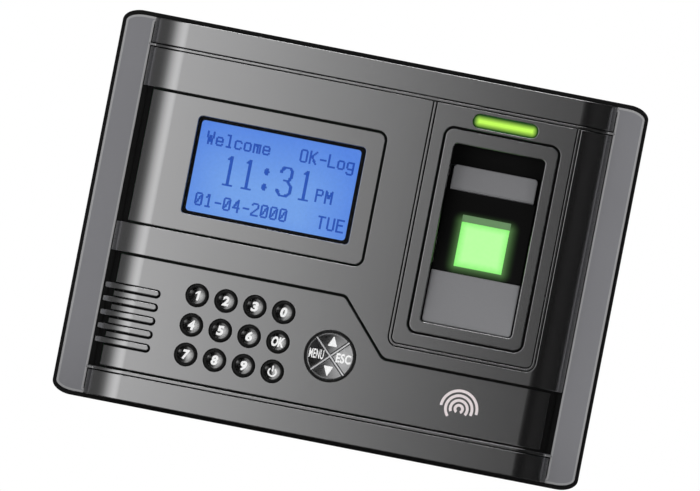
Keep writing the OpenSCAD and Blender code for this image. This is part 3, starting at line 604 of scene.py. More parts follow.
def cover_rest():
    """End walls, side strips and the lip that stands in the shell."""
    side = ARCH_HALF + 0.1
    walls = [arch_end(ARCH_TOP - WALL_INNER, ARCH_TOP - WALL_OUTER),
             arch_end(WALL_OUTER - ARCH_TOP, WALL_INNER - ARCH_TOP)]
    strips = plate([oval_box(COVER_HIGH.x, COVER_HIGH.z, 6.5, 3.0),
                    rounded(-side, -ARCH_TOP + 1.6, side, ARCH_TOP - 1.6, 0.3)],
                   STRIP_Y, COVER_BACK, STRIP_BEVEL, 4)
    for v in strips.verts:
        if v.co.y < STRIP_Y + STRIP_BEVEL:
            v.co.y = STRIP_Y + (v.co.y - STRIP_Y) * STRIP_SQUASH
    lip = plate([oval_box(90.1, 65.25, 4.6, 1.9), rounded(*LIP_HOLE, 1)],
                COVER_BACK - 0.3, COVER_BACK + 2.4, 0.1)
    return join([*walls, strips, lip])


def ridge_fins():
    seams = ((TOP_LINES[0] + TOP_LINES[1]) / 2, (LOW_LINE + BAND_LOW - JOINT) / 2)
    return join([plate_across([(way * x, y) for x, y in FIN], z - FIN_HALF, z + FIN_HALF, 0.08)
                 for z in seams for way in (-1, 1)])


cover = piece("front_cover_face", cover_face(), COVER, nodes=["front_cover"], bend=True)
# Painted shade: the faces of the arch nearest the strips take the darker metal
second_look(cover, COVER_FOOT_PAINTED_SHADE, lambda p: abs(p.center.x) / MM > FOOT_SHADE_X)
# The skin takes the black rubber colour as painted shade in the fine lines
skin = piece("front_cover_painted_shade_skin", cover_skin(), SEAL_AND_PAINTED_SHADE, bend=True)
strips = piece("front_cover_strips", cover_rest(), STRIP)
# Painted highlight: faces near the front of the strips that don't face straight ahead, the strips' bevels
# among them, take the lighter grey
second_look(strips, STRIP_EDGE_PAINTED_HIGHLIGHT, lambda p: abs(p.normal.y) < 0.999 and p.center.y / MM < STRIP_Y + 0.5)
inner = piece("front_cover_inner_flange",
              plate([rounded(*LIP_HOLE, 1), rounded(-77.6, -62.5, 77.6, 62.5, 3)],
                    STRIP_Y + 0.6, COVER_BACK, 0.1), SEAL_AND_PAINTED_SHADE)
# The fins take the same lighter grey, a painted highlight
fins = piece("ridge_fins", ridge_fins(), STRIP_EDGE_PAINTED_HIGHLIGHT)


# ---- panels let into the cover
def bent_plate(loops, front, back, bevel):
    return bent_parts([plate(loops, front, back, bevel)])


def middle(node):
    low, high = cad(node)
    return (low.x + high.x) / 2, (low.z + high.z) / 2


def bar_outline(left, z):
    """One bar of the speaker grille, from left to just short of the slot's round end."""
    return outline(box_path(left, z + 0.15 - BAR_H / 2, SLOT_RIGHT - 0.5, z + 0.15 + BAR_H / 2),
                   [0.2, 0.93, 0.93, 0.2])


KEY_NAMES = ["key_1", "key_2", "key_3", "key_0", "key_4", "key_5", "key_6", "key_ok",
             "key_7", "key_8", "key_9", "key_power"]
KEY_HOLE_R = 4.0
NAV_X, NAV_Z = middle("nav_ring")
NAV_HOLE_R = 8.95
SLOT_PITCH, SLOT_H, SLOT_RIGHT, SLOT_R, BAR_H = 4.77, 2.9, -61.6, 1.44, 1.9
RIBS = (-72.9, -65)
slot_places = [NAV_Z + i * SLOT_PITCH for i in range(2, -3, -1)]
PANEL_X, PANEL_R = 77.5, 0.1
PANEL_END = FACE_LEN + EDGE_R * (math.asin((PANEL_X - FILLET_X) / (EDGE_R - PANEL_DROP)) - FACE_TURN)

keypad_path = [(-PANEL_END, BAND_LOW + JOINT), (PANEL_END, BAND_LOW + JOINT), (PANEL_END, BAND_STEP - JOINT),
               offset_tip((FOOT, BAND_STEP), SLOPE_LOW, SLOPE_TOP, -JOINT),
               offset_tip(SLOPE_LOW, SLOPE_TOP, (-FOOT, BAND_TOP), -JOINT), (-PANEL_END, BAND_TOP - JOINT)]
keypad_radii = [PANEL_R, PANEL_R, PANEL_R, SLOPE_LOW_R - JOINT, SLOPE_TOP_R - JOINT, PANEL_R]
for z in slot_places:
    keypad_path += [(-PANEL_END, z + SLOT_H / 2), (SLOT_RIGHT, z + SLOT_H / 2),
                    (SLOT_RIGHT, z - SLOT_H / 2), (-PANEL_END, z - SLOT_H / 2)]
    keypad_radii += [PANEL_R, SLOT_R, SLOT_R, PANEL_R]
key_holes = [disc(*middle(name), KEY_HOLE_R) for name in KEY_NAMES]
keypad_loops = [outline(keypad_path, keypad_radii), *key_holes, disc(NAV_X, NAV_Z, NAV_HOLE_R, 96)]
display_box = box_path(-PANEL_END, DISPLAY_LOW + JOINT, DISPLAY_RIGHT - JOINT, DISPLAY_HIGH - JOINT)
display_loops = [outline(display_box, [PANEL_R, DISPLAY_R - JOINT, DISPLAY_R - JOINT, PANEL_R]),
                 centred(*WINDOW, *WINDOW_SIZE)]
sensor_loops = [rounded(*SENSOR_BOX, SENSOR_R, -JOINT), rounded(*WELL_BOX, WELL_R)]

piece("keypad_panel", bent_plate(keypad_loops, PANEL_DROP, SKIN_BACK, 0.2), COVER,
      nodes=["keypad_bezel"], bend=True)
piece("display_panel", bent_plate(display_loops, PANEL_DROP, SKIN_BACK, 0.22), COVER,
      nodes=["display_bezel"], bend=True)
piece("sensor_frame", bent_plate(sensor_loops, SENSOR_DROP, SKIN_BACK, 0.3), COVER,
      nodes=["sensor_bezel"], bend=True)

bars = [plate([bar_outline(0.2 - FOOT, z)], 0.3, 1.5, 0.3) for z in slot_places]
bars += [plate([bar_outline(0.3 - PANEL_END, z)], 1.4, 2.6, 0.1) for z in slot_places]
ribs = [plate([rounded(x, slot_places[-1], x + 1.5, slot_places[0], 0.2)], 2.5, 3.7, 0.1) for x in RIBS]
cloth = plate([rounded(2 - FOOT, slot_places[-1] - 2, SLOT_RIGHT + 1, slot_places[0] + 2, 1)],
              3.6, 3.9, 0.05)
piece("speaker_bars", bent_parts(bars), COVER, nodes=["speaker_grille"], bend=True)
# A black cloth behind the slots, with the ribs given the same black as painted shade so that they don't show
# in the slots
cloth_and_shaded_ribs = piece("speaker_cloth_and_painted_shade_ribs", bent_parts(ribs + [cloth]), SEAL_AND_PAINTED_SHADE, bend=True)
piece("status_light", bent_plate([centred(*STATUS, *STATUS_SIZE)], 0.3, 2.6, 0.5), STATUS_GLOW,
      nodes=["status_lens"], bend=True)


# ---- keys
def revolve(profile, cx, cz, steps=64):
    """A solid of revolution about a line along Y. profile is (radius, y) from the front to the back."""
    bm = bmesh.new()
    rings = []
    for r, y in profile:
        if r < 1e-6:
            rings.append([bm.verts.new((cx, y, cz))])
            continue
        rings.append([bm.verts.new((cx + r * math.cos(a), y, cz + r * math.sin(a)))
                      for a in (2 * math.pi * i / steps for i in range(steps))])
    for one, two in zip(rings, rings[1:]):
        for i in range(steps):
            j = (i + 1) % steps
            corners = [one[i % len(one)], one[j % len(one)], two[j % len(two)], two[i % len(two)]]
            unique = list(dict.fromkeys(corners))
            if len(unique) > 2:
                bm.faces.new(unique)
    return bm


SIGN_FRONT, SIGN_BACK, SIGN_BEVEL, SIGN_SINK = -0.025, 0.025, 0.01, 0.05
DISH_R, DISH_DEPTH, KEY_R, KEY_PROUD = 3.05, 0.85, 3.65, 0.7
KEY_EDGE, KEY_FLANGE_R, KEY_STEM_R = 0.26, 4.6, 1.6
BALL = (DISH_R ** 2 + DISH_DEPTH ** 2) / (2 * DISH_DEPTH)


def key_dish(r):
    """Height of a key's dished top above its panel at distance r from its middle."""
    return KEY_PROUD - DISH_DEPTH + BALL - math.sqrt(BALL ** 2 - min(r, DISH_R) ** 2)


def key_solid(name):
    """A key from its dished top to the stem that presses on the mat."""
    low, high = cad(name)
    cx, cz = middle(name)
    panel = low.y + KEY_PROUD
    profile = [(DISH_R * i / 12, panel - key_dish(DISH_R * i / 12)) for i in range(13)]
    profile += [(KEY_R - KEY_EDGE + KEY_EDGE * math.sin(a), low.y + KEY_EDGE - KEY_EDGE * math.cos(a))
                for a in (math.pi / 2 * i / 5 for i in range(6))]
    profile += [(KEY_R, panel + 2), (KEY_FLANGE_R, panel + 2), (KEY_FLANGE_R, panel + 2.8),
                (KEY_STEM_R, panel + 2.8), (KEY_STEM_R, high.y), (0, high.y)]
    return revolve(profile, cx, cz)


def drape(bm, cx, cz, height, lift, step=0.3):
    """Lays a thin flat drawing on a dished top, whose y is height(r) at distance r, and out by lift."""
    xs = [v.co.x for v in bm.verts]
    zs = [v.co.z for v in bm.verts]
    slice_mesh(bm, np.arange(min(xs) + step, max(xs), step), 0)
    slice_mesh(bm, np.arange(min(zs) + step, max(zs), step), 2)
    for v in bm.verts:
        v.co.y += height(math.hypot(v.co.x - cx, v.co.z - cz)) - lift
    return bm


def lettering(text, cx, cz, width, height, thick=0.05, weight=0.03, gap=1.0, slant=0.0):
    """Letters of the built-in font as a thin solid in x and z, fitted to a width and height."""
    curve = bpy.data.curves.new("letters", "FONT")
    curve.body = text
    curve.size = 1
    curve.offset = weight
    curve.space_character = gap
    curve.extrude = thick / 2
    curve.resolution_u = 6
    bm = mesh_of_curve(curve, 0.0005)
    xs = [v.co.x for v in bm.verts]
    ys = [v.co.y for v in bm.verts]
    kx, kz = width / (max(xs) - min(xs)), height / (max(ys) - min(ys))
    mx, mz = (max(xs) + min(xs)) / 2, (max(ys) + min(ys)) / 2
    for v in bm.verts:
        v.co = (cx + (v.co.x - mx) * kx + slant * (v.co.y - mz) * kz, -v.co.z, cz + (v.co.y - mz) * kz)
    return bm


def printed(loop):
    return plate([loop], SIGN_FRONT, SIGN_BACK, SIGN_BEVEL)


def digit_one(cx, cz, slant):
    """A bold upright stroke with a flag."""
    loop = [(0.05, -1.7), (0.8, -1.7), (0.8, 1.7), (0.25, 1.7), (-0.75, 1.0), (-0.75, 0.35), (0.05, 0.75)]
    return printed([(cx + x + slant * z, cz + z) for x, z in loop])


def power_sign(cx, cz, r=1.35, thick=0.55):
    """A broken ring with a bar through the gap."""
    ring = turned(cx, cz, r + thick / 2, 125, 415, 32) + turned(cx, cz, r - thick / 2, 415, 125, 32)
    bar = rounded(cx - thick / 2, cz + 0.2, cx + thick / 2, cz + r + 0.95, 0.2)
    return join([printed(ring), printed(bar)])


def key_sign(name, cx, cz):
    slant, weight, digit = 0.12, 0.05, (2.3, 3.45)
    if name == "key_power":
        return power_sign(cx, cz - 0.25)
    if name == "key_ok":
        return lettering("OK", cx, cz, 4.5, 3.5, weight=weight, slant=slant)
    if name == "key_1":
        return digit_one(cx, cz, slant)
    if name != "key_9":
        return lettering(name[-1], cx, cz, *digit, weight=weight, slant=slant)
    # The font's own nine breaks up at this weight, so a six turns half round
    sign = lettering("6", cx, cz, *digit, weight=weight, slant=slant)
    for v in sign.verts:
        v.co.x, v.co.z = 2 * cx - v.co.x, 2 * cz - v.co.z
    return sign


def in_dish(p, cx, cz):
    """Whether a face of a key belongs to its dish."""
    away = math.hypot(p.center.x / MM - cx, p.center.z / MM - cz)
    return p.normal.y < -0.5 and away < DISH_R - 0.2


for name in KEY_NAMES:
    cx, cz = middle(name)
    cap = piece(name + "_cap", key_solid(name), KEY, name, [name])
    second_look(cap, KEY_DISH, lambda p, cx=cx, cz=cz: in_dish(p, cx, cz))
    panel = cad(name)[0].y + KEY_PROUD
    sign = drape(key_sign(name, cx, cz), cx, cz, lambda r, panel=panel: panel - key_dish(r), SIGN_SINK)
    mark = piece(name + "_sign", sign, INK, name)

# ---- four-way pad
ring_low, ring_high = cad("nav_ring")
RING_IN, RING_OUT, RING_LIP, RING_FLANGE = 8.25, 8.87, 0.2, 9.9
rim, ledge = ring_low.y + RING_LIP, ring_high.y - 0.5
ring_profile = [(RING_IN, rim), (8.3, ring_low.y + 0.07), (8.42, ring_low.y), (8.66, ring_low.y),
                (8.8, ring_low.y + 0.07), (RING_OUT, rim), (RING_OUT, ledge), (RING_FLANGE, ledge),
                (RING_FLANGE, ring_high.y), (RING_IN, ring_high.y), (RING_IN, rim)]
piece("nav_ring_body", revolve(ring_profile, NAV_X, NAV_Z, 96), RING, nodes=["nav_ring"])

NAV_KEYS = ["nav_escape", "nav_up", "nav_menu", "nav_down"]
NAV_R, NAV_FLANGE_R, NAV_STEM_R, NAV_RIM_R, NAV_BALL = 8.1, 9.6, 1.6, 7.6, 24.7
NAV_GAP, NAV_THICK, NAV_REACH = 0.45, 2.6, 5
NAV_FRONT = cad("nav_escape")[0].y


def nav_dish(r):
    """How far the pad's dish lies behind its rim at distance r."""
    sag = math.sqrt(NAV_BALL ** 2 - min(r, NAV_RIM_R) ** 2)
    return sag - math.sqrt(NAV_BALL ** 2 - NAV_RIM_R ** 2)


def about_nav(points, turn):
    """Points about the pad's middle, turned by so many degrees."""
    a = math.radians(turn)
    return [(NAV_X + x * math.cos(a) - z * math.sin(a), NAV_Z + x * math.sin(a) + z * math.cos(a))
            for x, z in points]


def nav_distance(v):
    return math.hypot(v.co.x - NAV_X, v.co.z - NAV_Z)


def quarter(r, turn):
    """The outline of one quarter of the pad, turned so many degrees from the right."""
    reach = math.degrees(math.asin(NAV_GAP / r))
    return about_nav([(NAV_GAP * math.sqrt(2), 0)] + turned(0, 0, r, -45 + reach, 45 - reach, 24), turn)


def nav_top(r):
    return NAV_FRONT + nav_dish(r)


def nav_solid(index):
    """One key of the pad: its dished cap, the flange that holds it in and its stem."""
    turn = 90 * index
    cap = plate([quarter(NAV_R, turn)], 0, NAV_THICK, 0.22, 3)
    slice_mesh(cap, [NAV_X + i * 0.6 for i in range(-13, 14)], 0)
    slice_mesh(cap, [NAV_Z + i * 0.6 for i in range(-13, 14)], 2)
    for v in cap.verts:
        v.co.y += nav_top(nav_distance(v)) if v.co.y < NAV_THICK / 2 else NAV_FRONT + 0.5
    flange = plate([quarter(NAV_FLANGE_R, turn)], NAV_FRONT + 3.0, NAV_FRONT + 3.8, 0.1)
    a = math.radians(turn)
    start, back = NAV_FRONT + 3.7, cad(NAV_KEYS[index])[1].y
    stem = revolve([(0, start), (NAV_STEM_R, start), (NAV_STEM_R, back), (0, back)],
                   NAV_X + NAV_REACH * math.cos(a), NAV_Z + NAV_REACH * math.sin(a), 32)
    return join([cap, flange, stem])


def triangle(cx, cz, half, height):
    """An arrow sign. It points down if its height is negative."""
    points = [(cx - half, cz - height / 2), (cx + half, cz - height / 2), (cx, cz + height / 2)]
    if height < 0:
        points.reverse()
    return printed(outline(points, [0.15] * 3))


nav_signs = {
    "nav_escape": lambda: lettering("ESC", NAV_X + 4.75, NAV_Z - 0.05, 5.2, 3.3, weight=0.035, gap=1.1),
    "nav_menu": lambda: lettering("MENU", NAV_X - 4.8, NAV_Z, 5.1, 3.3, weight=0.02, gap=1.05),
    "nav_up": lambda: triangle(NAV_X + 0.15, NAV_Z + 5.3, 1.65, 3.7),
    "nav_down": lambda: triangle(NAV_X + 0.15, NAV_Z - 5.3, 1.65, -3.6),
}
for index, name in enumerate(NAV_KEYS):
    piece(name + "_cap", nav_solid(index), NAV, name, [name])
    sign = drape(nav_signs[name](), NAV_X, NAV_Z, nav_top, SIGN_SINK, 0.5)
    mark = piece(name + "_sign", sign, INK, name)


def nav_cross():
    """The two bright bars between the pad's keys."""
    bars = []
    cross_low, cross_high = cad("nav_cross")
    for turn in (45, -45):
        loop = about_nav(rounded(-8.15, -0.27, 8.15, 0.27, 0.1), turn)
        bar = plate([loop], 0, cross_high.y - cross_low.y, 0.1)
        slice_mesh(bar, [NAV_X + i * 0.8 for i in range(-9, 10)], 0)
        for v in bar.verts:
            v.co.y += cross_low.y + (0.9 * nav_dish(nav_distance(v)) if v.co.y < 1 else 0)
        bars.append(bar)
    return join(bars)


piece("nav_cross_body", nav_cross(), SILVER, nodes=["nav_cross"])

# ---- display
# Letters are strokes on the dots of the screen, x to the right and z up from the foot of the line
DOT_X, DOT_Z = 0.411, 0.448
SCREEN_LEFT, SCREEN_TOP = WINDOW[0] + 0.5 - 64 * DOT_X, WINDOW[1] - 0.5 + 32 * DOT_Z
STROKES = {
    "W": [[(0, 9), (1, 0), (2.5, 6), (4, 0), (5, 9)]],
    "e": [[(0, 3), (5, 3), (5, 5), (4, 6), (1, 6), (0, 5), (0, 1), (1, 0), (4, 0), (5, 1)]],
    "l": [[(1.5, 9), (2.5, 9), (2.5, 0)], [(1, 0), (4, 0)]],
    "c": [[(5, 5), (4, 6), (1, 6), (0, 5), (0, 1), (1, 0), (4, 0), (5, 1)]],
    "o": [[(1, 6), (4, 6), (5, 5), (5, 1), (4, 0), (1, 0), (0, 1), (0, 5), (1, 6)]],
    "m": [[(0, 0), (0, 6), (2, 6), (2.5, 5), (2.5, 0)], [(3, 6), (4.5, 6), (5, 5), (5, 0)]],
    "O": [[(1, 9), (4, 9), (5, 8), (5, 1), (4, 0), (1, 0), (0, 1), (0, 8), (1, 9)]],
    "K": [[(0, 0), (0, 9)], [(5, 9), (0, 4)], [(1.5, 5), (5, 0)]],
    "-": [[(0.5, 4.5), (4.5, 4.5)]],
    "L": [[(0, 9), (0, 0), (5, 0)]],
    "g": [[(5, 6), (5, -2), (4, -3), (1, -3), (0, -2)],
          [(5, 5), (4, 6), (1, 6), (0, 5), (0, 2), (1, 1), (4, 1)]],
    "1": [[(1, 7), (2.5, 9), (2.5, 0)], [(1, 0), (4, 0)]],
    "2": [[(0, 8), (1, 9), (4, 9), (5, 8), (5, 6), (0, 1), (0, 0), (5, 0)]],
    "4": [[(4, 0), (4, 9), (0, 3), (5, 3)]],
    "T": [[(0, 9), (5, 9)], [(2.5, 9), (2.5, 0)]],
    "U": [[(0, 9), (0, 1), (1, 0), (4, 0), (5, 1), (5, 9)]],
    "E": [[(5, 9), (0, 9), (0, 0), (5, 0)], [(0, 5), (4, 5)]],
    "P": [[(0, 0), (0, 9), (4, 9), (5, 8), (5, 6), (4, 5), (0, 5)]],
    "M": [[(0, 0), (0, 9), (2.5, 4), (5, 9), (5, 0)]],
}
STROKES["0"] = STROKES["O"] + [[(1, 2), (4, 7)]]
BIG_ONE = [[(2, 20), (4, 22), (4, 0)], [(1, 0), (7, 0)]]
BIG_THREE = [[(1, 18), (2, 21), (4, 22), (8, 22), (10, 20), (10, 15), (8, 12), (5, 12)],
             [(8, 11), (11, 8), (11, 3), (9, 1), (7, 0), (3, 0), (1, 2), (0, 4)]]
BIG_DOTS = [[(1 + abs(2 - i) / 2, low + i), (4 - abs(2 - i) / 2, low + i)]
            for low in (2, 14) for i in range(5)]
BIG_CLOCK = [(BIG_ONE, 20, 2), (BIG_ONE, 36, 2), (BIG_DOTS, 53, 1), (BIG_THREE, 66, 2), (BIG_ONE, 85, 2)]
SCREEN_LINES = [("Welcome", 0, 12), ("OK-Log", 80, 12), ("01-04-2000", 0, 60), ("TUE", 105, 60),
                ("PM", 99, 40)]


def draw(cells, strokes, column, base, pen=1):
    """Marks the screen dots that the strokes pass over."""
    for stroke in strokes:
        for (x0, z0), (x1, z1) in zip(stroke, stroke[1:]):
            count = int(max(abs(x1 - x0), abs(z1 - z0)) * 2) + 1
            for i in range(count + 1):
                x = round(column + x0 + (x1 - x0) * i / count)
                z = round(base - z0 - (z1 - z0) * i / count)
                cells.update((x + dx, z) for dx in range(pen))


def write(cells, text, column, base):
    for i, letter in enumerate(text):
        if letter in STROKES:
            draw(cells, STROKES[letter], column + 8 * i + 1, base)


def screen_text():
    """Every dark dot of the screen as a thin block in front of the glass."""
    cells = set()
    for text, column, base in SCREEN_LINES:
        write(cells, text, column, base)
    for strokes, column, pen in BIG_CLOCK:
        draw(cells, strokes, column, 41, pen)
    y = cad("lcd_glass")[0].y - 0.04
    w, h, thick = DOT_X * 1.7, DOT_Z * 1.4, 0.03
    bm = bmesh.new()
    for column, line in sorted(cells):
        x = SCREEN_LEFT + column * DOT_X - DOT_X * 0.35
        z = SCREEN_TOP - line * DOT_Z + DOT_Z * 0.2
        corners = [(x, z - h), (x + w, z - h), (x + w, z), (x, z)]
        ring = [bm.verts.new((cx, y, cz)) for cx, cz in corners]
        far = [bm.verts.new((cx, y + thick, cz)) for cx, cz in corners]
        bm.faces.new(ring)
        bm.faces.new(far[::-1])
        for i in range(4):
            bm.faces.new([ring[i], far[i], far[(i + 1) % 4], ring[(i + 1) % 4]])
    return bm


dots = piece("lcd_dots", screen_text(), LCD_INK)

# ---- finger well
# The tray is drawn upright, with z from its foot upwards, and then leans back
TRAY_ORIGIN = Vector((44.35, -34.6, -19.3))
TRAY_TURN = Matrix.Rotation(math.radians(-13.2), 3, "X")
TRAY_HALF = 15.6
GLASS_HALF, GLASS_LOW, GLASS_HIGH, SILL_HIGH = 8.5, 21.4, 37.7, 39.9


def in_tray(bm):
    for v in bm.verts:
        v.co = TRAY_ORIGIN + TRAY_TURN @ v.co
    return bm


def housing_plate():
    """The plate round the sensor glass, with the tube behind it."""
    hole = rounded(-GLASS_HALF, GLASS_LOW, GLASS_HALF, GLASS_HIGH, 0.3)
    face = plate([rounded(-TRAY_HALF, 19.1, TRAY_HALF, 47.9, 0.3),
                  rounded(-GLASS_HALF, GLASS_LOW, GLASS_HALF, SILL_HIGH, 0.35)], 0, 3.1, 0.25, 3)
    back = plate([rounded(-TRAY_HALF, 0.3, TRAY_HALF, 57, 0.3), hole], 3.05, 4.5, 0.1)
    tube = plate([rounded(-10.5, 19.5, 10.5, 39.6, 0.6), hole], 4.4, 11, 0.1)
    return in_tray(join([face, back, tube]))


def glass_slope():
    """The sloping sill above the sensor glass."""
    bm = bmesh.new()
    profile = [(0.25, 39.95), (1.05, 37.65), (3.0, 37.65), (3.0, 39.95)]
    ends = [[bm.verts.new((x, y, z)) for y, z in profile] for x in (-8.55, 8.55)]
    bm.faces.new(ends[0])
    bm.faces.new(ends[1][::-1])
    for i in range(4):
        j = (i + 1) % 4
        bm.faces.new([ends[0][i], ends[1][i], ends[1][j], ends[0][j]])
    return in_tray(bm)


finger_ramp = plate([outline(box_path(-TRAY_HALF, 0.15, TRAY_HALF, 18.9), [1.2, 1.2, 0.3, 0.3])],
                    0, 2.2, 0.45, 3)
finger_stop = plate([outline(box_path(-14.75, 48, 14.75, 56.8), [0.3, 0.3, 1.3, 1.3])], -1, 2.9, 0.45, 3)
piece("finger_ramp_body", in_tray(finger_ramp), TRAY, nodes=["finger_ramp"])
piece("finger_stop_body", in_tray(finger_stop), TRAY, nodes=["finger_stop"])
# The housing's green glow round the glass is painted light
piece("sensor_housing_body", housing_plate(), HOUSING_PAINTED_GLOW, nodes=["sensor_housing"])
# The sill's green glow is painted light from the glass below it
sill = piece("sensor_sill", glass_slope(), SILL)
piece("sensor_glass_body", in_tray(plate([rounded(-8.4, 21.5, 8.4, 37.6, 0.3)], 1, 6, 0.25, 3)), GLASS,
      nodes=["sensor_glass"])


# ---- emblem
def emblem(cx, cz):
    """Nested open arcs, printed on the keypad panel."""
    arcs = []
    half = 0.48
    for r, start, end in ((1.3, -60, 240), (2.95, -35, 205), (4.6, -20, 222), (6.3, -8, 178)):
        loop = turned(cx, cz, r + half, start, end, 28) + turned(cx, cz, r - half, end, start, 28)
        arcs.append(plate([loop], PANEL_DROP - 0.04, PANEL_DROP + 0.02, 0.01))
    return bent_parts(arcs)


mark = piece("panel_emblem", emblem(47.3, -46.8), EMBLEM, bend=True)

# ---- carried over, with rounded edges
SOFTENED = [
    ("rear_shell", SHELL, 0.45), ("wall_plate", STEEL, 0.15), ("locking_screw", SCREW, 0.12),
    ("case_screws", SCREW, 0.12), ("power_jack", JACK, 0.15), ("network_jack", TIN, 0.12),
    ("terminal_block", TERMINAL, 0.15), ("relay", RELAY, 0.3), ("main_board", BOARD, 0.1),
    ("lcd_board", BOARD, 0.1), ("keypad_board", BOARD, 0.1), ("sensor_board", BOARD, 0.1),
    ("status_board", BOARD, 0.1), ("board_components", CHIP, 0.15), ("board_switches", CHIP, 0.15),
    ("coin_cell", SCREW, 0.15), ("lcd_frame", FRAME_BLACK, 0.1), ("lcd_backlight", WHITE, 0.15),
    ("speaker_frame", SPEAKER, 0.12), ("speaker_cone", CONE, 0.08), ("speaker_magnet", SCREW, 0.2),
    ("sensor_well", WELL, 0.2), ("sensor_camera", CHIP, 0.15), ("keypad_mat", MAT_GREY, 0.15),
    ("board_screws", SCREW, 0.08),
]
for node, material, width in SOFTENED:
    soften(node, material, width)
soften("reset_button", WHITE, 0.25, body="reset_button")
soften("tamper_plunger", WHITE, 0.25, body="tamper_plunger")

PLAIN = {"panel_seals": SEAL_AND_PAINTED_SHADE, "display_gasket": SEAL_AND_PAINTED_SHADE, "lcd_glass": LCD, "display_window": WINDOW_CLEAR,
         "ribbon_cables": RIBBON}
for node, material in PLAIN.items():
    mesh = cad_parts[node].data
    mesh.materials.clear()
    mesh.materials.append(material)
    for p in mesh.polygons:
        p.use_smooth = True
    mesh.set_sharp_from_angle(angle=math.radians(20))

# ---- floor, light and camera
FLOOR_Z, FLOOR_HALF = SHELL_LOW.z * MM - 0.004, 0.5
floor_mesh = bpy.data.meshes.new("floor")
floor_corners = [(x * FLOOR_HALF, y * FLOOR_HALF, FLOOR_Z) for x, y in box_path(-1, -1, 1, 1)]
floor_mesh.from_pydata(floor_corners, [], [(0, 1, 2, 3)])
floor = bpy.data.objects.new("floor", floor_mesh)
floor_mesh.materials.append(surface("floor_pale", (0.8, 0.8, 0.79), rough=0.7, vary=0.01, grain=60, bump=0))
link(floor)
floor.visible_glossy = False


def softbox(name, turn, rise, distance, wide, tall, power):
    """A rectangular light that faces the middle of the object. turn is from the front towards the left."""
    data = bpy.data.lights.new(name, "AREA")
    data.shape = "RECTANGLE"
    data.size, data.size_y = wide, tall
    data.energy = power
    light = bpy.data.objects.new(name, data)
    a, e = math.radians(turn), math.radians(rise)
    back = Vector((-math.sin(a) * math.cos(e), -math.cos(a) * math.cos(e), math.sin(e)))
    light.location = back * distance
    light.rotation_mode = "QUATERNION"
    light.rotation_quaternion = (-back).to_track_quat("-Z", "Y")
    link(light)
    return light


# Neither the fill nor the rear light may show as a patch in the glossy parts
fill = softbox("fill", 0, 1, 2.2, 2.0, 0.4, 33)
fill.visible_glossy = False
fill.visible_transmission = False
rear = softbox("rear", 180, 18, 1.6, 0.9, 0.9, 14)
rear.visible_glossy = False
softbox("top", 0, 84, 1.4, 0.9, 0.6, 9)

# What the glossy parts reflect: walls from bright on the left of the camera to black on its right, and
# a low band of light round the sides and back, so that the grey cover reads as grey from there too.
# Angles are from the front towards the left in degrees, heights from straight down at 0 to straight up at 1
STUDIO = [(-180, 0.40), (-168, 0.10), (-155, 0.01), (-120, 0.006), (-30, 0.005), (-14, 0.008), (-8, 0.02),
          (-4, 0.085), (0, 0.245), (4, 0.51), (8, 0.79), (15, 0.98), (22, 1.0), (32, 0.82), (44, 0.54),
          (58, 0.19), (76, 0.08), (110, 0.08), (150, 0.05), (168, 0.12), (180, 0.40)]
HEIGHT = [(0.0, 0.10), (0.25, 0.35), (0.42, 1.0), (0.58, 1.0), (0.78, 0.55), (1.0, 0.30)]
AROUND = [(-180, 1.0), (-50, 1.0), (-32, 0.1), (-15, 0.0), (60, 0.0), (90, 1.0), (180, 1.0)]
LOW_GLOW = [(0.0, 0.0), (0.29, 0.0), (0.33, 0.42), (0.385, 0.42), (0.43, 0.0)]
STUDIO_STRENGTH = 1.18


def wall_light(tree, turn, turn_stops, rise, rise_stops):
    """Light that depends on the angle round the object and on the height."""
    around = ramp(tree, turn, [(degrees / 360 + 0.5, (value,) * 3) for degrees, value in turn_stops])
    upwards = ramp(tree, rise, [(place, (value,) * 3) for place, value in rise_stops])
    return mixed(tree, "MULTIPLY", around, upwards)


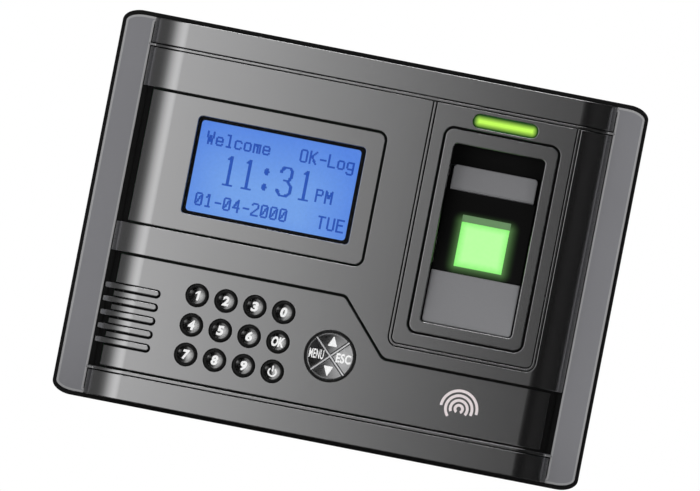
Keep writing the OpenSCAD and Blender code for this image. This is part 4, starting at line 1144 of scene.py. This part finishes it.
world = bpy.data.worlds.new("studio")
bpy.context.scene.world = world
world.use_nodes = True
tree = world.node_tree
tree.nodes.clear()
split = tree.nodes.new("ShaderNodeSeparateXYZ")
tree.links.new(tree.nodes.new("ShaderNodeTexCoord").outputs["Generated"], split.inputs["Vector"])
left = calc(tree, "MULTIPLY", split.outputs["X"], -1)
ahead = calc(tree, "MULTIPLY", split.outputs["Y"], -1)
turn = spread(tree, calc(tree, "ARCTAN2", left, ahead), 0, 1, -math.pi, math.pi)
rise = spread(tree, split.outputs["Z"], 0, 1, -1, 1)
walls = wall_light(tree, turn, STUDIO, rise, HEIGHT)
glow = wall_light(tree, turn, AROUND, rise, LOW_GLOW)
studio = tree.nodes.new("ShaderNodeBackground")
settings(studio, Strength=STUDIO_STRENGTH)
tree.links.new(mixed(tree, "LIGHTEN", walls, glow), studio.inputs["Color"])
# The camera itself sees plain white
seen = tree.nodes.new("ShaderNodeBackground")
settings(seen, Color=(1, 1, 1, 1))
choose = tree.nodes.new("ShaderNodeMixShader")
tree.links.new(tree.nodes.new("ShaderNodeLightPath").outputs["Is Camera Ray"], choose.inputs["Fac"])
tree.links.new(studio.outputs["Background"], choose.inputs[1])
tree.links.new(seen.outputs["Background"], choose.inputs[2])
out = tree.nodes.new("ShaderNodeOutputWorld")
tree.links.new(choose.outputs["Shader"], out.inputs["Surface"])
bpy.context.scene.view_settings.view_transform = "Standard"
bpy.context.scene.view_settings.look = "None"

# The camera looks straight at the face, rolled as in the photo
VIEW_ROLL = math.radians(11.05)
VIEW_WIDTH = 0.24197
VIEW_SHIFT = (-0.000176, 0.001531)
VIEW_DISTANCE = 0.5
camera_data = bpy.data.cameras.new("camera")
camera_data.type = "ORTHO"
camera_data.ortho_scale = VIEW_WIDTH
camera = bpy.data.objects.new("camera", camera_data)
link(camera)
right = Vector((math.cos(VIEW_ROLL), 0, math.sin(VIEW_ROLL)))
up = Vector((-math.sin(VIEW_ROLL), 0, math.cos(VIEW_ROLL)))
back = Vector((0, -1, 0))
stand = right * VIEW_SHIFT[0] + up * VIEW_SHIFT[1] + back * VIEW_DISTANCE
camera.matrix_world = Matrix.Translation(stand) @ Matrix((right, up, back)).transposed().to_4x4()
bpy.context.scene.camera = camera
